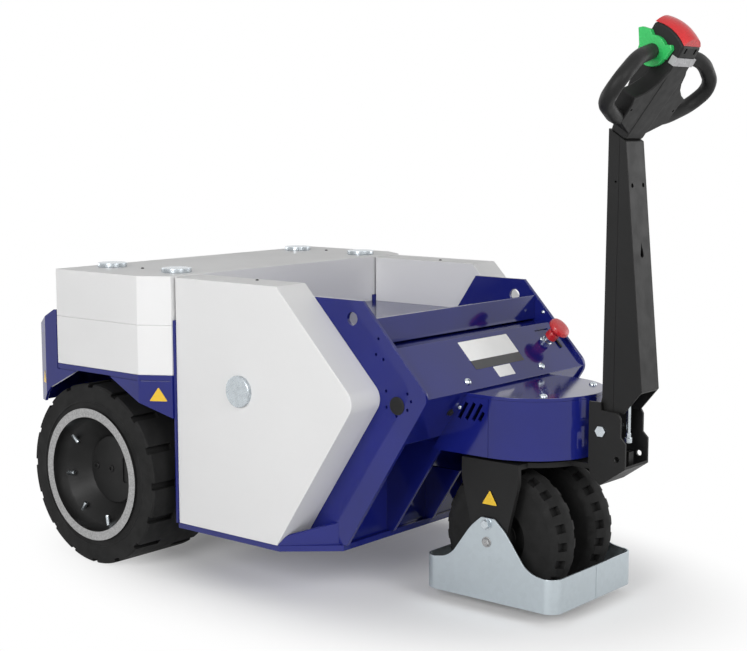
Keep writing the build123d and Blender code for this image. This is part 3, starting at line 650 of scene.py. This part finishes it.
class TOWTRACTOR_OT_rear_frame(bpy.types.Operator):
    """Deck, bumper, tow coupling and drive axle"""

    bl_idname = "towtractor.rear_frame"
    bl_label = "Rear frame"

    skirt_y = 478.0
    # X, Y at the two ends of each skirt's front bevel and of the bumper's bevel, on the left.
    skirt_bevel = ((188.0, 478.0), (260.0, 434.0))
    bumper_bevel = ((-164.0, 478.0), (-203.0, 460.0))
    # X and Z of the middle of the slit at the deck's fold and its length, and its share of the skirt's bevel.
    fold = (34.0, 487.5, 298.0)
    fold_share = 0.9
    # X and Z of the middle of the gap ahead of the bumper, and its height.
    bumper_gap = (-117.2, 567.0, 160.0)
    cut_depth = 3.0
    # Columns: X, Z of the corners of the blank triangle on each skirt, and of the one on the bumper's ends.
    skirt_sign = [(230.5, 472), (211, 438), (249.5, 438)]
    bumper_sign = [(-177, 477), (-188.5, 444), (-165.5, 444)]
    # Columns: X, Y, Z of the bolts of the clevis, and the width across flats and the height of their heads.
    clevis_bolts = [(-219, -62, 430), (-219, -62, 540), (-219, 62, 430), (-219, 62, 540)]
    clevis_bolt = (24, 14)

    def on_bevel(self, ends, sign, x, z):
        """A place on a bevelled corner."""
        (x0, y0), (x1, y1) = ends
        return at(x, sign * (y0 + (y1 - y0) * (x - x0) / (x1 - x0)), z)

    def off_bevel(self, ends, sign):
        """The way that a bevelled corner looks."""
        (x0, y0), (x1, y1) = ends
        run = abs(x1 - x0)
        return Vector(((y0 - y1) * (1 if x1 > x0 else -1), sign * run, 0)).normalized()

    def triangles(self, name, ends, outline):
        """Blank triangles on a bevelled corner of each side."""
        signs = [blank_plate(name, [self.on_bevel(ends, sign, x, z) for x, z in outline],
                             self.off_bevel(ends, sign), sizes().sign_round) for sign in SIGNS]
        settle(join(signs, name), "chassis", "yellow")

    def fold_slits(self, sign):
        """Cutters for the slit at the deck's fold, along a skirt and across its bevel."""
        x, z, length = self.fold
        tall = Vector((0, 0, sizes().gap))
        deep = Vector((0, self.cut_depth * MM, 0))
        first, last = [self.on_bevel(self.skirt_bevel, sign, end[0], z) for end in self.skirt_bevel]
        out = self.off_bevel(self.skirt_bevel, sign) * self.cut_depth * MM
        return [slit(at(x, sign * self.skirt_y, z), Vector((length * MM, 0, 0)), tall, deep),
                slit((first + last) / 2, (last - first) * self.fold_share, tall, out)]

    def bumper_slit(self, sign):
        """A cutter for the gap between the bumper and the deck."""
        x, z, height = self.bumper_gap
        return slit(at(x, sign * self.skirt_y, z), Vector((sizes().gap, 0, 0)), Vector((0, 0, height * MM)),
                    Vector((0, self.cut_depth * MM, 0)))

    def execute(self, context):
        edge = sizes().sheet_edge
        folds = [cutter for sign in SIGNS for cutter in self.fold_slits(sign)]
        gaps = [self.bumper_slit(sign) for sign in SIGNS]
        dressed("rear_deck", "chassis", "blue", 0.6 * edge, 2, gaps=folds, angle=20)
        dressed("rear_bumper", "chassis", "blue", 0.6 * edge, 2, gaps=gaps, angle=20)
        dressed("axle_hangers", "chassis", "blue", edge, 2)
        dressed("drive_axle", "chassis", "cast", sizes().casting_edge, 3)
        dressed("tow_clevis", "chassis", "powder", 2 * edge, 3)
        dressed("tow_pin", "chassis", "zinc", 1.5 * edge, 3)
        moves = [aimed(at(*place), (-1, 0, 0)) for place in self.clevis_bolts]
        settle(scatter(hex_bolt(*self.clevis_bolt), "clevis_bolts", moves), "chassis", "zinc")
        self.triangles("skirt_triangles", self.skirt_bevel, self.skirt_sign)
        self.triangles("bumper_triangles", self.bumper_bevel, self.bumper_sign)
        return {"FINISHED"}


class TOWTRACTOR_OT_ballast(bpy.types.Operator):
    """Rounded ballast blocks with their caps and small plugs"""

    bl_idname = "towtractor.ballast"
    bl_label = "Ballast"

    cap_edge = 1.6
    # Columns: X, Y, Z of the small plugs in the blocks' tops.
    plugs = [(52, -337, 741), (29, 386, 741), (469, -353, 738), (469, 353, 738)]
    plug_r = 4.0

    def execute(self, context):
        for name in ("rear_ballast_lower", "rear_ballast_upper", "side_ballast_left", "side_ballast_right"):
            dressed(name, "chassis", "white", sizes().ballast_edge, 3)
        dressed("ballast_caps", "chassis", "zinc", self.cap_edge * MM, 3)
        moves = [aimed(at(*place), (0, 0, 1)) for place in self.plugs]
        settle(scatter(dome_screw(self.plug_r), "ballast_plugs", moves), "chassis", "moulded")
        return {"FINISHED"}


class TOWTRACTOR_OT_chassis(bpy.types.Operator):
    """Side plates with their holes, floor, bulkhead, ribs and battery"""

    bl_idname = "towtractor.chassis"
    bl_label = "Chassis"

    plate_y = 325.0
    # Columns: X, Z of each small hole in a side plate.
    holes = [(836, 512), (896, 512), (906, 496), (837, 476), (896, 476), (865, 459),
             (814, 627), (807, 591), (828, 582)]
    hole_r = 3.6
    hole_depth = 6.0
    # X, Z of the plug in each side plate, and the (radius, height) pairs up its axis.
    plug_place = (867, 482)
    plug = [(20.5, -2), (20.5, 1.2), (19, 2.2), (12, 2.6)]
    battery_edge = 4.0

    def execute(self, context):
        edge = sizes().sheet_edge
        for side, sign in LEFT_RIGHT:
            holes = [drill(at(x, sign * self.plate_y, z), (0, sign, 0), self.hole_r, self.hole_depth)
                     for x, z in self.holes]
            dressed("side_plate_" + side, "chassis", "blue", edge, 2, holes)
        for name in ("floor_plate", "bulkhead", "ribbed_wall"):
            dressed(name, "chassis", "blue", edge, 2)
        dressed("battery", "chassis", "moulded", self.battery_edge * MM, 3)
        x, z = self.plug_place
        plugs = on_flanks(turned("plate_plug", self.plug, 40), "plate_plugs", x, self.plate_y, z)
        settle(plugs, "chassis", "moulded")
        return {"FINISHED"}


class TOWTRACTOR_OT_console(bpy.types.Operator):
    """Load tray, console with its blank plates, switch and screws, and the emergency stop"""

    bl_idname = "towtractor.console"
    bl_label = "Console"

    # X, Z at the top and the foot of the slanted face, and of the return under it.
    face_foot = (946.8, 503.0)
    face = ((849.9, 606.0), face_foot)
    under = (face_foot, (867.9, 390.0))
    # Columns: name, finish, Y and Z of the corners on the slanted face.
    plates = [
        ("console_plate", "vinyl", [(-92, 597), (104, 597), (104, 557), (-92, 557)]),
        ("console_strip", "dark_vinyl", [(-92, 557), (104, 557), (104, 539), (-92, 539)]),
        ("console_small_plate", "vinyl", [(-28, 538), (40, 538), (36, 516), (-28, 516)]),
    ]
    plate_round = 2.0
    # Y and Z of the middle of the open slot, its length, width and depth.
    slot = (251, 592, 58, 4, 5)
    # Columns: Y, Z of the screws and the small screw on the slanted face, and of the bolts on the return.
    screws = [(-150, 520), (150, 520)]
    small_screw = (226, 573)
    return_bolts = [(-194, 455), (194, 455)]
    # Width across flats and height of the bolts' heads.
    return_bolt = (13, 7)
    # X, Y, Z of a screw on each side plate's inner face.
    plate_screw = (826, 315, 628)
    # Columns: Y, Z of the switch's corners.
    switch = [(275, 566), (283, 566), (283, 548), (275, 548)]
    switch_height = 4.0
    switch_round = 3.6
    switch_edge = 1.2
    # Y and Z of the stop's foot, and the (radius, height) pairs up its neck and its button.
    stop = (241, 568)
    neck = [(13, -1), (13, 3), (11, 4), (11, 18)]
    button = [(14, 14), (15.5, 15.5), (15.5, 29), (13.4, 33), (14.4, 38), (19, 42.5), (26, 45), (28, 47.5),
              (28, 52), (26, 56.5), (19, 58.6), (8, 59.2)]

    def on_slant(self, slant, y, z):
        """A place on a slanted face at a height in millimetres."""
        (top_x, top_z), (foot_x, foot_z) = slant
        return at(top_x + (top_z - z) * (foot_x - top_x) / (top_z - foot_z), y, z)

    def outward(self, slant):
        """The way that a slanted face looks."""
        (top_x, top_z), (foot_x, foot_z) = slant
        return Vector((top_z - foot_z, 0, foot_x - top_x)).normalized()

    def standing(self, slant, y, z):
        """The move that stands a piece on a slanted face."""
        return aimed(self.on_slant(slant, y, z), self.outward(slant))

    def sheets(self):
        """Tray and console sheets, with the open slot beside the stop."""
        edge = sizes().sheet_edge
        for name in ("load_tray", "console_return"):
            dressed(name, "chassis", "blue", edge, 2)
        y, z, length, width, depth = self.slot
        out = self.outward(self.face)
        down = Vector((0, 1, 0)).cross(out)
        slot = slit(self.on_slant(self.face, y, z), Vector((0, length * MM, 0)), down * width * MM,
                    out * depth * MM)
        dressed("console_panel", "chassis", "blue", edge, 2, [slot])

    def blank_plates(self):
        """Blank plates on the slanted face."""
        for name, finish, outline in self.plates:
            corners = [self.on_slant(self.face, y, z) for y, z in outline]
            plate = blank_plate(name, corners, self.outward(self.face), self.plate_round * MM)
            settle(plate, "chassis", finish)

    def fasteners(self):
        """Screws of the console and the side plates, and bolts of the return."""
        moves = [self.standing(self.face, y, z) for y, z in self.screws]
        settle(scatter(dome_screw(SCREW_R), "console_screws", moves), "chassis", "zinc")
        moves = [self.standing(self.face, *self.small_screw)]
        x, y, z = self.plate_screw
        moves += [aimed(at(x, sign * y, z), (0, -sign, 0)) for sign in SIGNS]
        settle(scatter(dome_screw(SMALL_SCREW_R), "console_small_screws", moves), "chassis", "zinc")
        moves = [self.standing(self.under, y, z) for y, z in self.return_bolts]
        settle(scatter(hex_bolt(*self.return_bolt), "return_bolts", moves), "chassis", "powder")

    def controls(self):
        """The small switch, and the emergency stop on its neck."""
        corners = [self.on_slant(self.face, y, z) for y, z in self.switch]
        height = self.outward(self.face) * self.switch_height * MM
        switch = prism("console_switch", corners, height, self.switch_round * MM)
        round_edges(switch, self.switch_edge * MM, 3)
        settle(switch, "chassis", "moulded")
        foot = self.standing(self.face, *self.stop)
        for name, finish, profile in (("stop_neck", "zinc", self.neck), ("stop_button", "red", self.button)):
            piece = scatter(turned(name + "_skin", profile, 48), name + "_skin", [foot])
            settle(piece, "chassis", finish, name)

    def execute(self, context):
        self.sheets()
        self.blank_plates()
        self.fasteners()
        self.controls()
        return {"FINISHED"}


class TOWTRACTOR_OT_nose(bpy.types.Operator):
    """Half-round nose cover with its seams, its lid with screws, and the steering head"""

    bl_idname = "towtractor.nose"
    bl_label = "Nose"

    drum_r = 170.0
    # X and Z of the middle of the seam in each flank, its height and its depth.
    seam = (1003.0, 425.0, 200.0, 1.2)
    # Columns: X, Y, Z of the lid's screws.
    lid_screws = [(1105, -104, 499), (1105, 104, 499)]
    # X, Z of the screw on each flank.
    flank_screw = (924, 464)

    def execute(self, context):
        x, z, height, depth = self.seam
        seams = [slit(at(x, sign * self.drum_r, z), Vector((sizes().seam, 0, 0)), Vector((0, 0, height * MM)),
                      Vector((0, depth * MM, 0))) for sign in SIGNS]
        drum = copy_node("nose_drum", "nose_drum_skin")
        cut(drum, seams)
        smooth(drum)
        settle(drum, "chassis", "blue", "nose_drum")
        for name in ("nose_lid", "steering_head"):
            dressed(name, "chassis", "blue", sizes().sheet_edge, 2)
        moves = [aimed(at(*place), (0, 0, 1)) for place in self.lid_screws]
        settle(scatter(dome_screw(SCREW_R), "lid_screws", moves), "chassis", "zinc")
        x, z = self.flank_screw
        settle(on_flanks(dome_screw(SMALL_SCREW_R), "flank_screws", x, self.drum_r, z), "chassis", "zinc")
        return {"FINISHED"}


class TOWTRACTOR_OT_front_wheels(bpy.types.Operator):
    """Twin front tyres on their rims"""

    bl_idname = "towtractor.front_wheels"
    bl_label = "Front wheels"

    def execute(self, context):
        dressed("front_tyres", "front_wheels", "rubber", sizes().rubber_edge, 2)
        dressed("front_rims", "front_wheels", "cast", sizes().casting_edge, 3)
        return {"FINISHED"}


class TOWTRACTOR_OT_fork(bpy.types.Operator):
    """Fork, axle and galvanised guard with its bolts"""

    bl_idname = "towtractor.fork"
    bl_label = "Fork and guard"

    steer_x = 1003.0
    leg_y = 165.5
    guard_y = 169.5
    # A radius just outside the king pin, the height of its foot, and the share to which it is drawn in.
    pin_r = 45.5
    crown_z = 349.0
    pin_share = 0.985
    # Columns: half length along X, Z and rounding of the corners of the guard's raised cheeks.
    cheek = [(107, 113, 24), (48, 194, 14), (18, 220, 14)]
    # X, Y, Z of the middle of the seam in the guard's front, its height and its depth.
    seam = (1185.0, 1.0, 66.0, 100.0, 1.2)
    # Columns: name, finish, X, Z, width across flats, height and turn of the heads on the guard.
    heads = [
        ("guard_bolts", "zinc", 1001, 206, 19, 11, 12),
        ("axle_ends", "machined", 1001, 164, 17, 7, 20),
    ]
    # Columns: X, Z of the corners of the blank triangle on each fork leg.
    leg_sign = [(1006, 283), (985, 250), (1026, 250)]

    def fork(self):
        """Fork with its king pin drawn in a little, so that its facets turn freely in the bore."""
        piece = copy_node("fork", "fork_skin")
        for vertex in piece.data.vertices:
            out = math.hypot(vertex.co.x - axle_x - self.steer_x * MM, vertex.co.y)
            vertex.select = out < self.pin_r * MM and vertex.co.z > self.crown_z * MM
        bpy.ops.object.mode_set(mode="EDIT")
        bpy.ops.transform.resize(value=(self.pin_share, self.pin_share, 1),
                                 center_override=at(self.steer_x, 0, 0))
        bpy.ops.object.mode_set(mode="OBJECT")
        round_edges(piece, 1.5 * sizes().sheet_edge, 3)
        settle(piece, "steering", "powder", "fork")

    def on_corner(self, place, half, up):
        """Whether a point lies on a corner of a raised cheek."""
        x = (place.x - axle_x) / MM - self.steer_x
        return abs(abs(x) - half) < 0.5 and abs(place.z / MM - up) < 0.5

    def guard(self):
        """Guard with rounded cheeks and the seam in its front."""
        x, y, z, height, depth = self.seam
        seam = slit(at(x, y, z), Vector((0, sizes().seam, 0)), Vector((0, 0, height * MM)),
                    Vector((depth * MM, 0, 0)))
        piece = copy_node("wheel_guard", "wheel_guard_skin")
        for half, up, bend in self.cheek:
            round_chosen(piece, lambda place: self.on_corner(place, half, up), bend * MM, 6)
        round_edges(piece, 0.8 * sizes().sheet_edge, 2, [seam])
        settle(piece, "steering", "galvanised", "wheel_guard")

    def execute(self, context):
        self.fork()
        dressed("front_axle", "steering", "zinc", sizes().sheet_edge, 2)
        self.guard()
        for name, finish, x, z, across, height, turn in self.heads:
            settle(on_flanks(hex_bolt(across, height), name, x, self.guard_y, z, turn), "steering", finish)
        signs = [blank_plate("fork_triangle", [at(x, sign * self.leg_y, z) for x, z in self.leg_sign],
                             (0, sign, 0), sizes().sign_round) for sign in SIGNS]
        settle(join(signs, "fork_triangles"), "steering", "yellow")
        return {"FINISHED"}


class TOWTRACTOR_OT_tiller(bpy.types.Operator):
    """Bracket with its pivot, the tiller arm with its holes, and its rod"""

    bl_idname = "towtractor.tiller"
    bl_label = "Tiller arm"

    # X, Z at the foot and the top of the arm's leaning front.
    front_low = (1314.5, 522.0)
    front_top = (1264.0, 1061.0)
    # Z of the keyhole's round end, its radius, and how far its tip is above.
    keyhole = (817.0, 6.5, 27.0)
    # Where the keyhole's round end starts, how far it goes round, in degrees, and in how many steps.
    keyhole_round = (160, 220, 14)
    cutter_depth = 10.0
    # Columns: Y, Z of the pin holes in the arm's front, and the way they go in.
    pin_holes = [(-23, 967), (23, 967)]
    pin_hole_axis = (1, 0, 0.1)
    pin_hole_r = 5.0
    pin_hole_depth = 8.0
    # X, Y, Z of the small hole in the arm's right side, its radius and its depth.
    side_hole = (1240, -38, 975)
    side_hole_r = 2.4
    side_hole_depth = 6.0
    # X, Y, Z of the rod's nut, and the (radius, height) pairs up it.
    nut_place = (1262, 0, 399)
    nut = [(7, 0), (8, 1), (8, 11), (7, 12), (5.5, 12), (5.5, 22), (4.6, 23)]

    def on_front(self, y, z):
        """A place on the arm's front at a height in millimetres."""
        share = (z - self.front_low[1]) / (self.front_top[1] - self.front_low[1])
        return at(self.front_low[0] + share * (self.front_top[0] - self.front_low[0]), y, z)

    def keyhole_cutter(self):
        """A cutter for the drop-shaped hole, round below and pointed above."""
        z, radius, tip = self.keyhole
        start, sweep, steps = self.keyhole_round
        outline = [(0, tip)]
        for k in range(steps + 1):
            angle = math.radians(start + sweep * k / steps)
            outline.append((radius * math.cos(angle), radius * math.sin(angle)))
        back = Vector((self.cutter_depth * MM, 0, 0))
        return prism("cutter", [self.on_front(y, z + up) - back for y, up in outline], 2 * back)

    def execute(self, context):
        edge = sizes().sheet_edge
        dressed("tiller_bracket", "steering", "powder", edge, 2)
        dressed("tiller_pivot", "steering", "zinc", edge, 2)
        side_hole = drill(at(*self.side_hole), (0, -1, 0), self.side_hole_r, self.side_hole_depth)
        dressed("tiller_channel", "tiller", "powder", edge, 2, [side_hole])
        holes = [drill(self.on_front(y, z), self.pin_hole_axis, self.pin_hole_r, self.pin_hole_depth)
                 for y, z in self.pin_holes]
        dressed("tiller_cover", "tiller", "powder", edge, 2, holes + [self.keyhole_cutter()])
        dressed("tiller_rod", "tiller", "zinc", edge, 2)
        nut = turned("rod_nut", self.nut, 6)
        settle(scatter(nut, "rod_nuts", [aimed(at(*self.nut_place), (0, 0, 1))]), "tiller", "zinc")
        return {"FINISHED"}


class TOWTRACTOR_OT_tiller_head(bpy.types.Operator):
    """Tiller head with its grip loops, thumb switches, band and reversing button"""

    bl_idname = "towtractor.tiller_head"
    bl_label = "Tiller head"

    # n runs ahead of the head's axis and u up along it. The axis starts at the foot's X, Z and leans forward.
    lean = 33.0
    foot = (1243.0, 1075.0)
    half = 38.0
    # n, u of the middle of the flat webs, and the half width, height and half depth that is cut off there.
    flat_web = (14, 90, 70.0, 190, 30)
    # Columns: n, Y, u of the dark slots under the button, and each slot's width, height and depth.
    slots = [(30, -20, 225), (30, 20, 225)]
    slot_size = (7, 12, 5)
    # Columns: Y, u round each web, and round the lip that joins it to the loop.
    web = [(30, 12), (98, 44), (98, 70), (100, 90), (108, 107),
           (83, 117), (62, 131), (49, 147), (41, 170), (30, 184)]
    lip = [(88, 40), (118, 48), (144, 62), (142, 78), (98, 71), (88, 66)]
    web_thick = 40.0
    lip_thick = 24.0
    web_edge = 3.0
    # n of the webs' front at the foot, and the u over which it comes forward by 1 mm.
    web_front = 18.8
    web_run = 15.0
    # Columns: Y, u of the small holes in the webs.
    web_holes = [(-89, 77), (89, 77)]
    web_hole_r = 3.2
    web_hole_depth = 6.0
    # Columns: n, Y, u of the left loop's corners, from the switch to the foot, and each bend's radius.
    loop = [(-24, 46, 193, 0), (2, 140, 190, 90), (22, 203, 142, 42), (8, 182, 84, 60), (6, 112, 52, 120),
            (3, 20, 37, 0)]
    loop_r = 16.5
    bend_steps = 10
    # Columns: solid, finish, rounding of its edges and steps in it.
    trim = [
        ("head_band", "grey", 0.8, 2),
        ("reverse_button", "red", 3.0, 4),
        ("thumb_switches", "green", 2.4, 3),
    ]

    def turn(self):
        """The head's forward and upward ways."""
        c, s = math.cos(math.radians(self.lean)), math.sin(math.radians(self.lean))
        return Vector((c, 0, -s)), Vector((s, 0, c))

    def on_head(self, n, y, u):
        """A place on the head, in millimetres along its own ways."""
        ahead, up = self.turn()
        return at(self.foot[0], y, self.foot[1]) + (ahead * n + up * u) * MM

    def on_web(self, y, u):
        """A place on the webs' front, just behind the head's front."""
        return self.on_head(self.web_front + u / self.web_run, y, u)

    def body(self):
        """The head with its slots, without the flat webs that the deep ones stand for."""
        ahead, up = self.turn()
        n, u, reach, height, depth = self.flat_web
        piece = copy_node("tiller_head", "tiller_head_skin")
        cut(piece, [slit(self.on_head(n, sign * (self.half + reach), u), Vector((0, 2 * reach * MM, 0)),
                         up * (height * MM), ahead * depth * MM) for sign in SIGNS])
        merge(piece)
        width, height, depth = self.slot_size
        slots = [slit(self.on_head(*place), Vector((0, width * MM, 0)), up * height * MM, ahead * depth * MM)
                 for place in self.slots]
        round_edges(piece, sizes().moulding_edge, 4, slots)
        settle(piece, "tiller", "moulded", "tiller_head")

    def webs(self):
        """Deep webs from the head to the loops, with their screw holes."""
        ahead = self.turn()[0]
        webs = [prism("head_web", [self.on_web(sign * y, u) for y, u in outline], -ahead * thick * MM)
                for outline, thick in ((self.web, self.web_thick), (self.lip, self.lip_thick))
                for sign in SIGNS]
        piece = join(webs, "head_webs")
        holes = [drill(self.on_web(y, u), ahead, self.web_hole_r, self.web_hole_depth)
                 for y, u in self.web_holes]
        round_edges(piece, self.web_edge * MM, 3, holes)
        settle(piece, "tiller", "moulded")

    def loop_path(self, sign):
        """Places along a loop's middle, in metres, round each of its bends."""
        stops = [self.on_head(n, sign * y, u) for n, y, u, bend in self.loop]
        path = [stops[0]]
        for before, stop, after, row in zip(stops, stops[1:], stops[2:], self.loop[1:]):
            back, on = (before - stop).normalized(), (after - stop).normalized()
            half = back.angle(on) / 2
            bend = row[3] * MM
            middle = stop + (back + on).normalized() * bend / math.sin(half)
            first = stop + back * bend / math.tan(half) - middle
            last = stop + on * bend / math.tan(half) - middle
            turn = math.pi - 2 * half
            for k in range(self.bend_steps + 1):
                share = k / self.bend_steps
                path.append(middle + (first * math.sin((1 - share) * turn) + last * math.sin(share * turn))
                            / math.sin(turn))
        return path + [stops[-1]]

    def grips(self):
        """Round grip loops, drawn along their bends."""
        loops = []
        for sign in SIGNS:
            path = self.loop_path(sign)
            clear()
            bpy.ops.curve.primitive_nurbs_path_add()
            loop = bpy.context.object
            spline = loop.data.splines[0]
            spline.type = "POLY"
            spline.points.add(len(path) - len(spline.points))
            for point, place in zip(spline.points, path):
                point.co = (*place, 1.0)
            loop.data.bevel_depth = self.loop_r * MM
            loop.data.bevel_resolution = 6
            loop.data.use_fill_caps = True
            bpy.ops.object.convert(target="MESH")
            loops.append(bpy.context.object)
        piece = join(loops, "grip_loops_skin")
        merge(piece)
        smooth(piece, 50)
        settle(piece, "tiller", "moulded", "grip_loops")

    def execute(self, context):
        self.body()
        self.webs()
        self.grips()
        for name, finish, edge, steps in self.trim:
            dressed(name, "tiller", finish, edge * MM, steps)
        return {"FINISHED"}


class TOWTRACTOR_OT_stage(bpy.types.Operator):
    """Pale floor, soft light, white surroundings and the camera at the photograph's place"""

    bl_idname = "towtractor.stage"
    bl_label = "Stage"

    ambient = 0.2
    # The floor's width in metres, how far it lies under the wheels, and the light that it adds itself.
    floor_size = 60.0
    floor_drop = 0.6
    floor_lift = 0.11
    # Metres ahead of the middle where the floor starts to go over to white and where it is white, and how
    # many times sooner that comes to the sides.
    fade_from = 0.5
    fade_to = 1.1
    fade_across = 1.5
    # Columns: name, place in metres, size in metres, power in watts.
    lamps = [
        ("key_softbox", (1.0, -4.7, 2.1), 2.4, 140.0),
        ("front_softbox", (4.2, -1.0, 2.3), 2.8, 78.0),
        ("left_softbox", (2.2, 4.6, 1.4), 3.0, 44.0),
        ("rear_softbox", (-4.8, -0.4, 1.4), 3.0, 40.0),
    ]
    lamp_target = (0.0, 0.0, 0.4)
    # The photograph's width, its middle, the point that the camera looks at and its focal length, in pixels.
    photo_width = 747
    photo_middle = (373.5, 325.5)
    photo_axis = (378.81, 324.19)
    photo_focal = 1514.92
    sensor = 36.0
    # The camera's turn, tilt and roll in degrees, and its X, Y, Z.
    camera_turn = (39.615, 7.2805, -0.0658)
    camera_place = (2935.86, -2887.60, 1084.80)

    def execute(self, context):
        self.floor()
        self.surroundings()
        self.lights()
        self.camera()
        return {"FINISHED"}

    def seen(self, tree):
        """1 on rays that the camera, a reflection or glass sends, 0 on rays that only carry light."""
        path = add(tree, "ShaderNodeLightPath").outputs
        gloss = add(tree, "ShaderNodeMath", {0: path["Is Camera Ray"], 1: path["Is Glossy Ray"]},
                    operation="MAXIMUM")
        both = add(tree, "ShaderNodeMath", {0: gloss.outputs[0], 1: path["Is Transmission Ray"]},
                   operation="MAXIMUM")
        return both.outputs[0]

    def floor(self):
        """A plain sweep of pale floor that keeps the shadow and goes over to white further out."""
        clear()
        bpy.ops.mesh.primitive_plane_add(size=self.floor_size, location=(0, 0, -self.floor_drop * MM))
        plane = bpy.context.object
        plane.name = "studio_floor"
        bpy.ops.object.transform_apply(location=True, rotation=True, scale=True)
        made = bpy.data.materials.new("studio_floor_paint")
        made.use_nodes = True
        tree = made.node_tree
        tree.nodes.clear()
        seen = self.seen(tree)
        where = add(tree, "ShaderNodeTexCoord").outputs["Object"]
        oval = add(tree, "ShaderNodeVectorMath", {0: where, 1: (1.0, self.fade_across, 1.0)},
                   operation="MULTIPLY")
        reach = add(tree, "ShaderNodeVectorMath", {0: oval.outputs[0]}, operation="LENGTH")
        fade = add(tree, "ShaderNodeMapRange", {"Value": reach.outputs["Value"], "From Min": self.fade_from,
                                                "From Max": self.fade_to}, interpolation_type="SMOOTHSTEP")
        share = add(tree, "ShaderNodeMath", {0: fade.outputs["Result"], 1: seen}, operation="MULTIPLY")
        level = add(tree, "ShaderNodeMath", {0: seen, 1: self.floor_lift}, operation="MULTIPLY")
        matt = add(tree, "ShaderNodeBsdfDiffuse", {"Color": linear(colours().floor)})
        lift = add(tree, "ShaderNodeEmission", {"Color": WHITE, "Strength": level.outputs[0]})
        near = add(tree, "ShaderNodeAddShader", {0: matt.outputs[0], 1: lift.outputs[0]})
        far = add(tree, "ShaderNodeEmission", {"Color": WHITE, "Strength": 1.0})
        both = add(tree, "ShaderNodeMixShader", {0: share.outputs[0], 1: near.outputs[0], 2: far.outputs[0]})
        add(tree, "ShaderNodeOutputMaterial", {"Surface": both.outputs[0]})
        plane.data.materials.append(made)

    def surroundings(self):
        """White where it is seen, and a plain level of light elsewhere."""
        world = bpy.data.worlds.new("white_studio")
        bpy.context.scene.world = world
        world.use_nodes = True
        tree = world.node_tree
        tree.nodes.clear()
        light = add(tree, "ShaderNodeBackground", {"Color": WHITE, "Strength": self.ambient})
        white = add(tree, "ShaderNodeBackground", {"Color": WHITE, "Strength": 1.0})
        mix = add(tree, "ShaderNodeMixShader", {0: self.seen(tree), 1: light.outputs[0], 2: white.outputs[0]})
        add(tree, "ShaderNodeOutputWorld", {"Surface": mix.outputs[0]})

    def lights(self):
        """Round softboxes that all look at the machine."""
        for name, place, size, power in self.lamps:
            bpy.ops.object.light_add(type="AREA", location=place)
            lamp = bpy.context.object
            lamp.name = name
            lamp.data.energy = power
            lamp.data.shape = "DISK"
            lamp.data.size = size
            sight = Vector(self.lamp_target) - Vector(place)
            lamp.rotation_euler = sight.to_track_quat("-Z", "Y").to_euler()

    def camera(self):
        """The camera found from the photograph."""
        yaw, down, roll = [math.radians(angle) for angle in self.camera_turn]
        forward = Vector((-math.sin(yaw) * math.cos(down), math.cos(yaw) * math.cos(down), -math.sin(down)))
        level = Vector((math.cos(yaw), math.sin(yaw), 0.0))
        up = level.cross(forward)
        right = math.cos(roll) * level + math.sin(roll) * up
        upright = math.cos(roll) * up - math.sin(roll) * level
        data = bpy.data.cameras.new("photo_camera")
        data.sensor_width = self.sensor
        data.lens = self.sensor * self.photo_focal / self.photo_width
        data.shift_x = (self.photo_middle[0] - self.photo_axis[0]) / self.photo_width
        data.shift_y = (self.photo_axis[1] - self.photo_middle[1]) / self.photo_width
        data.clip_end = 100.0
        camera = bpy.data.objects.new("photo_camera", data)
        bpy.context.scene.collection.objects.link(camera)
        turn = Matrix((right, upright, -forward)).transposed().to_4x4()
        camera.matrix_world = Matrix.Translation(at(*self.camera_place)) @ turn
        bpy.context.scene.camera = camera
        bpy.context.scene.view_settings.view_transform = "Standard"


OPERATORS = (
    TOWTRACTOR_OT_rear_wheels, TOWTRACTOR_OT_rear_frame, TOWTRACTOR_OT_ballast, TOWTRACTOR_OT_chassis,
    TOWTRACTOR_OT_console, TOWTRACTOR_OT_nose, TOWTRACTOR_OT_front_wheels, TOWTRACTOR_OT_fork,
    TOWTRACTOR_OT_tiller, TOWTRACTOR_OT_tiller_head, TOWTRACTOR_OT_stage,
)


class TOWTRACTOR_PT_panel(bpy.types.Panel):
    """Lists the machine's pieces in the sidebar"""

    bl_label = "Tow tractor"
    bl_space_type = "VIEW_3D"
    bl_region_type = "UI"
    bl_category = "Tow tractor"

    def draw(self, context):
        for operator in OPERATORS:
            self.layout.operator(operator.bl_idname)


CLASSES = (TowTractorColours, TowTractorSizes) + OPERATORS + (TOWTRACTOR_PT_panel,)


def register():
    for item in CLASSES:
        bpy.utils.register_class(item)
    bpy.types.Scene.tow_tractor_colours = PointerProperty(type=TowTractorColours)
    bpy.types.Scene.tow_tractor_sizes = PointerProperty(type=TowTractorSizes)


def unregister():
    del bpy.types.Scene.tow_tractor_colours
    del bpy.types.Scene.tow_tractor_sizes
    for item in reversed(CLASSES):
        bpy.utils.unregister_class(item)


def main():
    register()
    bpy.ops.towtractor.rear_wheels()
    bpy.ops.towtractor.rear_frame()
    bpy.ops.towtractor.ballast()
    bpy.ops.towtractor.chassis()
    bpy.ops.towtractor.console()
    bpy.ops.towtractor.nose()
    bpy.ops.towtractor.front_wheels()
    bpy.ops.towtractor.fork()
    bpy.ops.towtractor.tiller()
    bpy.ops.towtractor.tiller_head()
    bpy.ops.towtractor.stage()


if __name__ == "__main__":
    main()
